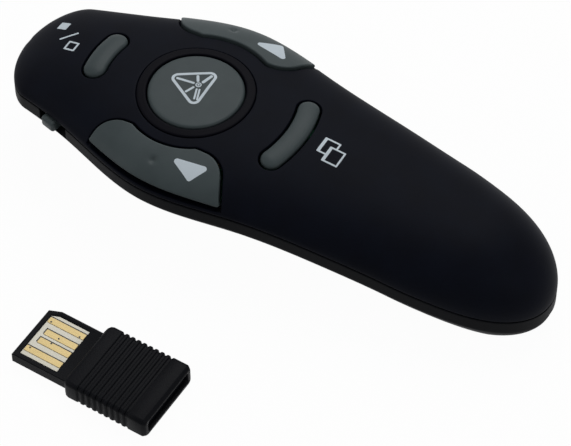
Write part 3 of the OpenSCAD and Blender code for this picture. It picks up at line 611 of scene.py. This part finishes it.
def in_box(x, y, x0, x1, half, corner):
    """How far inside a rectangle with round corners."""
    dx, dy = np.abs(x - (x0 + x1) / 2) - (x1 - x0) / 2 + corner, np.abs(y) - half + corner
    outside = np.hypot(np.maximum(dx, 0), np.maximum(dy, 0))
    return corner - outside - np.minimum(np.maximum(dx, dy), 0)


def slider_frame(x, y):
    """How far along the power slot and how far out of it."""
    c, s = math.cos(SLIDER_TURN), math.sin(SLIDER_TURN)
    dx, dy = x - SLOT_X, y - slider_y
    return c * dx + s * dy, c * dy - s * dx


def bottom_field(p):
    """How far inside the bottom cover: under the seam and clear of its openings."""
    x, y, z = p[..., 0], p[..., 1], p[..., 2]
    along, out = slider_frame(x, y)
    slot = np.minimum(SLOT_LEN / 2 - np.abs(along), z - slider_z + SLOT_H / 2)
    slot = np.where((np.abs(out) < SLOT_REACH) & (y > 0), slot, -OUTSIDE)
    door = np.where(z < BAY_TOP, in_box(x, y, DOOR_REAR - DOOR_GAP, DOOR_FRONT + DOOR_GAP,
                                        DOOR_HALF + DOOR_GAP, BAY_CORNER), -OUTSIDE)
    screws = [np.where(z < SCREW_TOP, np.hypot(x - s, y) - SCREW_HOLE, OUTSIDE) for s in SCREWS]
    return np.minimum.reduce([seam(x) - SEAM_GAP - z, -slot, -door, laser_hole(y, z, x)] + screws)


belly = belly_grid(along_body)
shell = skin(belly, bottom_field(belly), COVER_RIM, COVER_SKIN)


# %% The tongue that closes the seam
# Its section: how far inside the outline each corner lies, and how far above the seam.
TONGUE = [(1.3, -1.5), (1.3, -0.2), (1.75, 0.5), (2.5, 0.5), (2.5, -1.5)]


def tongue():
    """A closed band that follows the seam inside the covers."""
    rings = []
    for side, order in ((-1, 1), (1, -1)):
        for a in np.radians(np.linspace(4, 176, 90))[::order]:
            ring = []
            for inset, rise in TONGUE:
                x = np.array(-(HALF_LEN - inset) * math.cos(a))
                squeeze = (HALF_LEN - inset) / HALF_LEN
                wide = max(float(half_width(x / squeeze)) - inset, 0.05)
                lift = rise if rise < 0 else min(rise, 0.25 * float(dome_height(x / squeeze)))
                ring.append((float(x), side * wide, float(seam(x)) + lift))
            rings.append(ring)
    return loft(rings, closed=True)


piece("bottom_cover_skin", together(shell, tongue()), lower_case, "clicker",
      ["bottom_cover"])

# %% [markdown]
# ## The battery door
# It continues the belly's surface, and has finger ridges at the end that lifts. A tab at its front
# holds it in the cover. It is cut from the same grid as the belly, so the two lie flush.

# %% The battery door
RIDGES, RIDGE_PITCH, RIDGE_DEPTH, RIDGE_R, RIDGE_HALF, RIDGE_FADE = 6, 1.6, 0.3, 0.45, 6.5, 0.6
TAB_HALF, TAB_ROOT = 2.0, DOOR_FRONT - 0.8


def box(x0, x1, y0, y1, z0, z1):
    """A block with its edges eased a little."""
    ease = 0.12
    rings = []
    for z, e in [(z0, ease), (z0 + ease, 0), (z1 - ease, 0), (z1, ease)]:
        rings.append([(x0 + e, y0 + e, z), (x1 - e, y0 + e, z), (x1 - e, y1 - e, z), (x0 + e, y1 - e, z)])
    return loft(rings)


door_grid = belly_grid(np.arange(-39.5, 9.6, 0.35), rise=4)
door_x, door_y = door_grid[..., 0], door_grid[..., 1]
first_ridge = DOOR_REAR + 4
groove = np.zeros_like(door_x)
for k in range(RIDGES):
    near = np.abs(door_x - first_ridge - RIDGE_PITCH * k) / RIDGE_R
    fade = np.clip((RIDGE_HALF - np.abs(door_y)) / RIDGE_FADE, 0, 1)
    groove = np.maximum(groove, np.clip(1 - near * near, 0, 1) * fade)
door_grid[..., 2] += groove * RIDGE_DEPTH
door_field = in_box(door_x, door_y, DOOR_REAR, DOOR_FRONT, DOOR_HALF, DOOR_CORNER)
door_field = np.where(door_grid[..., 2] < BAY_TOP, door_field, -OUTSIDE)
tab = box(TAB_ROOT, DOOR_FRONT + 2.2, -TAB_HALF, TAB_HALF, WALL + 0.2, WALL + 1.15)
tab_root = box(TAB_ROOT, DOOR_FRONT - 0.05, -TAB_HALF, TAB_HALF, 1.0, WALL + 0.3)
door_plate = skin(door_grid, door_field, COVER_RIM, COVER_SKIN)
piece("battery_door_skin", together(door_plate, tab, tab_root), lower_case, "battery_door",
      ["battery_door"])

# %% [markdown]
# ## The trim ring and the laser button
# Both follow the crown of the dome and stand a hair above it. A ring or a disc is best laid out in
# circles round its middle, because then its rim is a clean circle.

# %% Circles on the dome
def lift_on_dome(x, y, lift):
    """The points of the dome above (x, y), moved out by lift along the surface's normal."""
    step = 0.02
    z = dome_z(x, y)
    dx = (dome_z(x + step, y) - dome_z(x - step, y)) / (2 * step)
    dy = (dome_z(x, y + step) - dome_z(x, y - step)) / (2 * step)
    normal = unit(np.stack([-dx, -dy, np.ones_like(z)], axis=-1))
    return np.stack([x, y, z], axis=-1) + normal * np.asarray(lift)[..., None]


def circles(r0, r1, rows, sides=144):
    """Points in circles round the laser button, and their radius."""
    r, a = np.meshgrid(np.linspace(r0, r1, rows), np.linspace(0, 2 * math.pi, sides + 1), indexing="ij")
    return RING_X + r * np.cos(a), r * np.sin(a), r


def laser_lift(x, y):
    """The laser button is dished a little, so that a thumb finds its middle."""
    return LASER_RAISE - LASER_DISH * (1 - (np.hypot(x - RING_X, y) / LASER_R) ** 2)


x, y, r = circles(LASER_R + GAP + RING_RIM, RING_R - RING_RIM, 7)
ring_shape = skin(lift_on_dome(x, y, LASER_RAISE + 0 * x), np.minimum(RING_R - r, r - LASER_R - GAP),
                  RING_RIM, BUTTON_SKIN, steps=5)
piece("trim_ring", ring_shape, ring_abs, "clicker", ["laser_ring"])

x, y, r = circles(0.0, LASER_R - LASER_RIM, 24)
button_shape = skin(lift_on_dome(x, y, laser_lift(x, y)), LASER_R - r, LASER_RIM, 2.0, steps=6)
piece("laser_button_cap", button_shape, button_paint, "laser_button", ["laser_button"])

# %% [markdown]
# ## The curved buttons
# A stroke along an arc has round ends, so it is laid out in rings round its middle line: each point is
# a point of that line plus a step sideways. Its rim is a generous quarter round, which catches light.

# %% A button along an arc
def arc_button(radius, width, spread, side, rows=9):
    """side is 1 ahead of the laser button and -1 behind it."""
    reach = width / 2 - ARC_RIM
    line, sideways = [], []
    for sign, angles in ((1, np.linspace(-spread, spread, 40)), (-1, np.linspace(spread, -spread, 40))):
        for a in angles:
            line.append(a)
            sideways.append((sign * math.cos(a), sign * math.sin(a)))
        for turn_by in np.linspace(0, math.pi, 26)[1:-1]:
            end = angles[-1]
            b = end + turn_by + (0 if sign > 0 else math.pi)
            line.append(end)
            sideways.append((math.cos(b), math.sin(b)))
    line.append(line[0])
    sideways.append(sideways[0])
    angle, step = np.array(line), np.array(sideways)
    out = np.linspace(0, reach, rows)[:, None]
    x = RING_X + side * (radius * np.cos(angle) + step[:, 0] * out)
    y = radius * np.sin(angle) + step[:, 1] * out
    lift = RAISE + ARC_CROWN - PILLOW * (out / reach) ** 2 + 0 * x
    return skin(lift_on_dome(x, y, lift), width / 2 - out + 0 * x, ARC_RIM, BUTTON_SKIN, steps=6)


piece("start_button_cap", arc_button(START_ARC, START_W, START_SPREAD, 1), button_paint,
      "start_button", ["start_button"])
piece("window_button_cap", arc_button(WINDOW_ARC, WINDOW_W, WINDOW_SPREAD, -1), button_paint,
      "window_button", ["window_button"])

# %% [markdown]
# ## The side buttons
# They wrap from the crown down over the side and stop a little above the seam. Each has a small round
# dimple that a thumb can find. They are cut from a patch of the dome's own grid.

# %% The side buttons
def side_button(side, dimple):
    """side is 1 on +Y and -1 on -Y; dimple is a place in plan."""
    across, inside = np.linspace(3, 78, 150), (15, 0, 10)
    points = dome_grid(np.arange(0.0, 33.0, 0.26), across if side > 0 else 180 - across)
    x, y, z = points[..., 0], points[..., 1], points[..., 2]
    field = np.minimum(in_side_plan(x, y), z - seam(x) - PAGE_EDGE)
    low = np.exp(-((x - dimple[0]) ** 2 + (y - dimple[1]) ** 2) / DIMPLE_R ** 2)
    normals = grid_frame(points, field, inside)[0]
    points = points + normals * (RAISE - DIMPLE_DEPTH * low)[..., None]
    return skin(points, field, SIDE_RIM, BUTTON_SKIN, inside, steps=6)


piece("page_up_cap", side_button(1, (16.5, 16.2)), painted_lighter_side_paint, "page_up_button",
      ["page_up_button"])
piece("page_down_cap", side_button(-1, (20.1, -17.0)), painted_lighter_side_paint, "page_down_button",
      ["page_down_button"])

# %% [markdown]
# ## The signs on the buttons
# Pad printing lays a thin film of pale ink on the finished surface. Each sign is drawn as distances to
# lines and corners, cut from a fine patch of the surface, and lies two hundredths of a millimetre
# proud. All of them are plain shapes: squares, a slash, arrows and a triangle with rays.

# %% Draw with distances
INK, INK_SKIN = 0.02, 0.08


def stroke(x, y, a, b, width):
    """How far inside a straight stroke with round ends."""
    return width / 2 - from_line(x, y, a, b)[0]


def polygon(x, y, corners, round_by=0.0):
    """How far inside a convex shape whose corners are rounded."""
    middle = np.mean(corners, axis=0)
    edges = list(zip(corners, corners[1:] + corners[:1]))
    reach = min(from_line(np.array(middle[0]), np.array(middle[1]), a, b)[0] for a, b in edges)
    shrunk = [tuple(middle + (np.array(c) - middle) * (1 - round_by / reach)) for c in corners]
    edges = list(zip(shrunk, shrunk[1:] + shrunk[:1]))
    away_from = np.minimum.reduce([from_line(x, y, a, b)[0] for a, b in edges])
    area = sum(a[0] * b[1] - a[1] * b[0] for a, b in edges)
    side = [((b[0] - a[0]) * (y - a[1]) - (b[1] - a[1]) * (x - a[0])) * math.copysign(1, area)
            for a, b in edges]
    return round_by + np.where(np.minimum.reduce(side) > 0, away_from, -away_from)


def sign(name, body, draw, corner, size, lift, cell=0.09):
    """corner and size give the patch in plan; lift is how far the surface stands above the dome."""
    x, y = np.meshgrid(np.arange(corner[0], corner[0] + size[0], cell),
                       np.arange(corner[1], corner[1] + size[1], cell), indexing="ij")
    surface = lift_on_dome(x, y, lift(x, y) + INK)
    shape = skin(surface, draw(x, y), 0.0, INK_SKIN, inside=(x.mean(), 0, 5))
    piece(name, shape, pad_ink, body)


# %% The laser sign
TRIANGLE = [(23.64, -0.8), (15.85, 3.65), (16.15, -5.6)]
HUB, HUB_R, DOT_R = (17.85, -1.24), 0.45, 0.2
# Each ray: where it starts, where it ends and its width.
RAYS = [((18.85, -1.2), (21.9, -0.8), 0.46), ((18.4, -2.0), (19.0, -2.95), 0.5),
        ((17.45, -2.2), (16.9, -4.1), 0.56), ((18.35, -0.3), (18.95, 1.15), 0.44),
        ((17.6, -0.2), (16.85, 1.9), 0.34), ((17.1, -0.35), (16.3, 1.85), 0.34)]


def laser_sign(x, y):
    """A rounded triangle with rays from a small hub."""
    outline = 0.26 - np.abs(polygon(x, y, TRIANGLE, 0.95))
    rays = [stroke(x, y, start, end, wide) for start, end, wide in RAYS]
    from_hub = np.hypot(x - HUB[0], y - HUB[1])
    hub = np.maximum(0.1 - np.abs(from_hub - HUB_R), DOT_R - from_hub)
    return np.maximum.reduce([outline, hub] + rays)


sign("laser_sign", "laser_button", laser_sign, (14.8, -6.4), (9.4, 11.0), laser_lift, cell=0.07)

# %% The signs on the cover
def square(middle, wide, tall):
    """The four corners of a rectangle."""
    x, y = middle
    return [(x - wide / 2, y - tall / 2), (x + wide / 2, y - tall / 2), (x + wide / 2, y + tall / 2),
            (x - wide / 2, y + tall / 2)]


WINDOW_MIDDLES = [(-10.4, 0.72), (-8.7, -0.65)]


def start_sign(x, y):
    """A filled square, a slash and a hollow square."""
    filled = polygon(x, y, square((47.8, -4.0), 1.9, 1.9))
    slash = stroke(x, y, (46.25, -0.5), (44.0, -2.8), 0.38)
    hollow = 0.18 - np.abs(polygon(x, y, square((43.2, 0.55), 1.85, 1.85)))
    return np.maximum.reduce([filled, slash, hollow])


def window_sign(x, y):
    """Two windows, one before the other, each with a thick bar on the side towards the nose."""
    wide, line, bar = 2.8, 0.17, 0.42
    front, behind = [polygon(x, y, square(middle, wide, 3.2)) for middle in WINDOW_MIDDLES]
    sheets = [np.maximum(line - np.abs(sheet), np.minimum(sheet, x - middle[0] - wide / 2 + bar))
              for sheet, middle in zip((front, behind), WINDOW_MIDDLES)]
    return np.maximum(sheets[0], np.minimum(sheets[1], -front))


sign("start_sign", "clicker", start_sign, (41.5, -5.6), (8.0, 8.0), lambda x, y: 0 * x)
sign("window_sign", "clicker", window_sign, (-12.6, -3.0), (6.2, 6.2), lambda x, y: 0 * x)

# %% The arrows on the side buttons
NEAR_ARROW = [(14.5, 14.5), (8.65, 17.3), (6.2, 13.2)]
FAR_ARROW = [(15.7, -15.8), (7.55, -14.5), (10.8, -18.9)]

for name, arrow, corner, size in [("page_up", NEAR_ARROW, (5.8, 12.6), (9.0, 5.2)),
                                  ("page_down", FAR_ARROW, (7.1, -19.4), (9.2, 5.4))]:
    sign(name + "_arrow", name + "_button", lambda x, y: polygon(x, y, arrow, 0.5), corner, size,
         lambda x, y: RAISE + 0 * x)

# %% [markdown]
# ## The power slider
# A small moulded knob runs in a slot in the rim. It is a loft outwards through its slot: each ring is
# a rounded rectangle, and the last few draw in, so that its face is softly rounded.

# %% The power knob
def rounded_rectangle(wide, tall, corner, steps=6):
    """Its outline about the middle, with a quarter circle at each corner."""
    ring = []
    for cx, cy, start in [(1, 1, 0), (-1, 1, 90), (-1, -1, 180), (1, -1, 270)]:
        for k in range(steps + 1):
            a = math.radians(start + 90 * k / steps)
            ring.append((cx * (wide / 2 - corner) + corner * math.cos(a),
                         cy * (tall / 2 - corner) + corner * math.sin(a)))
    return ring


KNOB_AT, KNOB_LEN, KNOB_H, KNOB_CORNER = 0.6, 3.1, 2.2, 0.5


def knob_shape():
    """The knob's rings, from inside the case out to its face."""
    rings = []
    for out, inset in [(-2.6, 0.0), (-1.0, 0.0), (0.45, 0.0), (0.75, 0.08), (0.93, 0.25), (1.0, 0.5)]:
        ring = rounded_rectangle(KNOB_LEN - 2 * inset, KNOB_H - 2 * inset, KNOB_CORNER - inset * 0.6)
        rings.append([(KNOB_AT + a, out, b) for a, b in ring])
    return rings


def at_slider(points):
    """From along, out and up at the slot to places in the part."""
    c, s = math.cos(SLIDER_TURN), math.sin(SLIDER_TURN)
    p = np.asarray(points, dtype=float)
    return np.stack([SLOT_X + c * p[..., 0] - s * p[..., 1], slider_y + s * p[..., 0] + c * p[..., 1],
                     slider_z + p[..., 2]], axis=-1)


knob = loft([at_slider(ring) for ring in knob_shape()])
piece("power_knob_cap", knob, painted_lighter_side_paint, "power_slider", ["power_knob"])

# %% [markdown]
# ## The receiver
# A short USB stick without a metal shell: a black cap with grip ribs, and a bare tongue on which a
# pale board carries four gold contacts, the outer two longer than the inner two. The cap is one loft
# along its length: each section is a rounded rectangle, drawn in a little at every groove.

# %% The receiver's cap
REC_X, REC_Y, REC_TURN = 11.1, 47.8, math.radians(-2.2)
PLUG_W, PLUG_T, PLUG_LEN, PLUG_LOW = 12.0, 2.2, 11.4, 0.45
CAP_LEN, CAP_W, CAP_T, CAP_CORNER = 16.7, 14.5, 4.4, 0.75
RIBS, RIB_FIRST, RIB_PITCH, RIB_DEPTH = 9, 3.2, 1.2, 0.22
TRAY_FLOOR, BOARD_T = 1.2, 0.8
WINDOW_REAR, WINDOW_FRAME = 2.7, 1.0


def at_receiver(points):
    """From the receiver's own lengths, measured from the front of its cap, to places in the part."""
    c, s = math.cos(REC_TURN), math.sin(REC_TURN)
    p = np.asarray(points, dtype=float)
    return np.stack([REC_X + c * p[..., 0] - s * p[..., 1], REC_Y + s * p[..., 0] + c * p[..., 1],
                     p[..., 2]], axis=-1)


def section(at, wide, low, high, corner=CAP_CORNER):
    """A rounded rectangle across the receiver, between two heights."""
    return [(at, a, (low + high) / 2 + b) for a, b in rounded_rectangle(wide, high - low, corner)]


def cap_rings():
    """Out of the mouth that holds the plug, along the cap to its rear, and into the hollow there."""
    rings = []
    for at, room, corner in [(-4.0, 0.1, 0.15), (-0.1, 0.1, 0.15), (0.0, 0.2, 0.2)]:
        rings.append(section(at, PLUG_W + 2 * room, PLUG_LOW - room, PLUG_LOW + PLUG_T + room, corner))
    for at, inset in [(0.0, 0.9), (-0.15, 0.5), (-0.5, 0.15), (-1.0, 0.0), (-2.6, 0.0)]:
        rings.append(section(at, CAP_W - 2 * inset, inset * 0.4, CAP_T - inset * 0.5))
    for k in range(RIBS):
        x = -RIB_FIRST - RIB_PITCH * k
        for step, depth in [(0.42, 0.0), (0.3, 0.06), (0.2, RIB_DEPTH), (-0.2, RIB_DEPTH), (-0.3, 0.06),
                            (-0.42, 0.0)]:
            rings.append(section(x + step, CAP_W - 2 * depth, 0, CAP_T - depth))
    for step, inset in [(0.7, 0.0), (0.55, 0.05), (0.12, 0.32), (0.0, 0.5)]:
        rings.append(section(step - CAP_LEN, CAP_W - 2 * inset, inset * 0.6, CAP_T - inset))
    for step, inset, low in [(0.0, 1.1, 0.75), (0.15, 1.2, 0.85), (0.8, 1.25, 0.9)]:
        rings.append(section(step - CAP_LEN, CAP_W - 2 * inset, low, CAP_T - low - 0.1, 0.5))
    return rings


piece("receiver_cap_shell", loft([at_receiver(ring) for ring in cap_rings()]), receiver_abs, "receiver",
      ["receiver_cap"], crease=50)

# %% The tongue of the plug and its board
CUT_LEN, CUT_W = 2.2, 0.9


def plug_outline(inset, rear):
    """The plug's plan, with one corner cut off, taken in by inset."""
    half, tip = PLUG_W / 2 - inset, PLUG_LEN - inset
    return [(rear, -half), (PLUG_LEN - CUT_LEN - 0.2 * inset, -half),
            (tip, -PLUG_W / 2 + CUT_W + 0.67 * inset), (tip, half), (rear, half)]


def plug_rings(levels):
    """The plug's outline at several levels: how far taken in, where its rear is, and how high."""
    return [at_receiver([(x, y, z) for x, y in plug_outline(inset, rear)]) for inset, rear, z in levels]


top, floor_z, rear = PLUG_LOW + PLUG_T, PLUG_LOW + TRAY_FLOOR, -CAP_LEN + 2.7
tray = loft(plug_rings([(0.15, rear, PLUG_LOW), (0.0, rear, PLUG_LOW + 0.15), (0.0, rear, top - 0.12),
                        (0.12, rear, top), (WINDOW_FRAME - 0.1, WINDOW_REAR - 0.1, top),
                        (WINDOW_FRAME, WINDOW_REAR, top - 0.08), (WINDOW_FRAME, WINDOW_REAR, floor_z)]))
piece("receiver_tray_shell", tray, receiver_abs, "receiver", ["receiver_tray"])
board_top, board_edge, board_rear = floor_z + BOARD_T, WINDOW_FRAME + 0.04, WINDOW_REAR + 0.04
board = loft(plug_rings([(board_edge, board_rear, floor_z + 0.01), (board_edge, board_rear, board_top - 0.03),
                         (board_edge + 0.03, board_rear + 0.03, board_top)]))
piece("receiver_board_face", board, pale_board, "receiver", ["receiver_board"])

# %% The gold contacts
# Each contact: how far aside it lies, and how far forward it reaches.
PINS = [(-3.5, 10.25), (-1.0, 9.25), (1.0, 9.25), (3.5, 10.25)]
PIN_HALF, PIN_H, STRIP_TO, PROBE_HALF, PIN_REAR = 0.62, 0.12, 0.84, 0.18, WINDOW_REAR + 0.06


def strip(x0, x1, y0, y1, corner, low, high, ease=0.0):
    """A plate on the board, between two heights above it."""
    rings = []
    for z, inset in [(low, 0.0), (high - ease, 0.0), (high, ease)]:
        ring = rounded_rectangle(x1 - x0 - 2 * inset, y1 - y0 - 2 * inset, corner - inset, 4)
        rings.append(at_receiver([((x0 + x1) / 2 + a, (y0 + y1) / 2 + b, board_top + z) for a, b in ring]))
    return loft(rings)


contacts = [strip(PIN_REAR, tip, y - PIN_HALF, y + PIN_HALF, 0.12, -0.02, PIN_H, 0.04) for y, tip in PINS]
piece("receiver_contact_strips", together(*contacts), gold, "receiver", ["receiver_contacts"])

# %% Dark strips beside the contacts, and the marks of the test probes on them
# Thin dark strips lie along the -Y side of every contact and across the front of the two inner ones.
dark_strips = [strip(PIN_REAR, tip + 0.14, y - STRIP_TO, y - 0.6, 0.05, -0.03, 0.05) for y, tip in PINS]
dark_strips += [strip(tip - 0.02, tip + 0.22, y - STRIP_TO, y + 0.5, 0.05, -0.03, 0.05) for y, tip in PINS[1:3]]
PROBES = [(9.6, -3.2), (3.6, -3.1), (6.4, -0.9), (6.9, 0.6), (9.5, 3.2)]
probes = [strip(x - PROBE_HALF, x + PROBE_HALF, y - PROBE_HALF, y + PROBE_HALF, 0.17, 0.1, PIN_H + 0.01)
          for x, y in PROBES]
piece("receiver_contact_marks", together(*dark_strips, *probes), chip_epoxy, "receiver")

# %% [markdown]
# ## Finishes for the pieces that stay
# The electronics, the laser and the battery bay keep their CAD shapes. Each gets the finish of what it
# is. They show when the battery door is open, and in views that look inside.

# %% Give the inner pieces their finishes
BUTTONS = ("laser", "start", "window", "page_up", "page_down")
INNER = {
    steel: ["case_screws", "crystal", "power_switch", "laser_diode", "left_spring", "right_spring",
            "front_contacts", "rear_contact"],
    brass: ["laser_barrel"],
    copper: ["antenna"],
    ceramic: ["chip_capacitors"],
    green_board: ["main_board"],
    chip_epoxy: ["control_chip", "radio_chip", "receiver_chip"],
    switch_resin: ["power_stem"] + [button + "_switch" for button in BUTTONS],
    plunger_nylon: [button + "_plunger" for button in BUTTONS],
    cell_sleeve: ["left_cell", "right_cell"],
    lens_plastic: ["laser_lens"],
    red_window: ["laser_window"],
}
for finish, names in INNER.items():
    for name in names:
        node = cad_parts[name]
        if not node.material_slots:
            node.data.materials.append(finish)
        for material_slot in node.material_slots:
            material_slot.material = finish
print(sum(len(names) for names in INNER.values()), "inner pieces finished")

# %% [markdown]
# ## The floor and the light
# The photograph was taken in a white light tent: pale all round, with hardly a shadow. A floor that
# is part matt white and part plain light keeps a soft shadow, and large lamps give broad highlights.

# %% The floor
def seen_directly(tree):
    """1 for the camera's own rays and those that come by a mirror or through glass, else 0."""
    rays = add_node(tree, "ShaderNodeLightPath")
    either = add_node(tree, "ShaderNodeMath", [("operation", "MAXIMUM")],
                      [(0, rays.outputs["Is Camera Ray"]), (1, rays.outputs["Is Glossy Ray"])])
    return add_node(tree, "ShaderNodeMath", [("operation", "MAXIMUM")],
                    [(0, either.outputs[0]), (1, rays.outputs["Is Transmission Ray"])])


REACH, UNDER = 3.0, -0.03 * MM
floor_mesh = bpy.data.meshes.new("floor")
floor_mesh.from_pydata([(x, y, UNDER) for x, y in ((-REACH, -REACH), (REACH, -REACH), (REACH, REACH),
                                                   (-REACH, REACH))], [], [(0, 1, 2, 3)])
floor = bpy.data.objects.new("floor", floor_mesh)
bpy.context.scene.collection.objects.link(floor)
paper, tree = empty_material("white_paper_sweep")
matt = add_node(tree, "ShaderNodeBsdfDiffuse", [("Color", hex_colour("#f4f4f4"))])
plain = add_node(tree, "ShaderNodeEmission", [("Color", (1, 1, 1, 1)), ("Strength", 1.0)])
share = add_node(tree, "ShaderNodeMath", [("operation", "MULTIPLY"), (1, 0.97)],
                 [(0, seen_directly(tree).outputs[0])])
mix = add_node(tree, "ShaderNodeMixShader", links=[(0, share.outputs[0]), (1, matt.outputs[0]),
                                                   (2, plain.outputs[0])])
add_node(tree, "ShaderNodeOutputMaterial", links=[("Surface", mix.outputs[0])])
floor_mesh.materials.append(paper)

# %% The world and the lamps
world = bpy.data.worlds.new("white_tent")
world.use_nodes = True
world.node_tree.nodes.clear()
tree = world.node_tree
power = add_node(tree, "ShaderNodeMapRange", [("To Min", 0.2), ("To Max", 1.0)],
                 [("Value", seen_directly(tree).outputs[0])])
glow = add_node(tree, "ShaderNodeBackground", [("Color", (1, 1, 1, 1))],
                [("Strength", power.outputs["Result"])])
add_node(tree, "ShaderNodeOutputWorld", links=[("Surface", glow.outputs[0])])
bpy.context.scene.world = world


def lamp(name, place, aim, size, watts):
    """A soft box at place, in mm, that faces aim."""
    light = bpy.data.lights.new(name, "AREA")
    light.size, light.energy = size * MM, watts
    obj = bpy.data.objects.new(name, light)
    obj.location = Vector(place) * MM
    obj.rotation_mode = "QUATERNION"
    obj.rotation_quaternion = (Vector(aim) - Vector(place)).to_track_quat("-Z", "Y")
    bpy.context.scene.collection.objects.link(obj)


middle = (5, 10, 10)
lamp("tent_top", (90, -310, 510), middle, 440, 1.8)
lamp("tent_left", (420, 260, 330), middle, 300, 0.3)
lamp("tent_right", (-420, 60, 300), middle, 300, 0.25)
print(len(made), "pieces made")
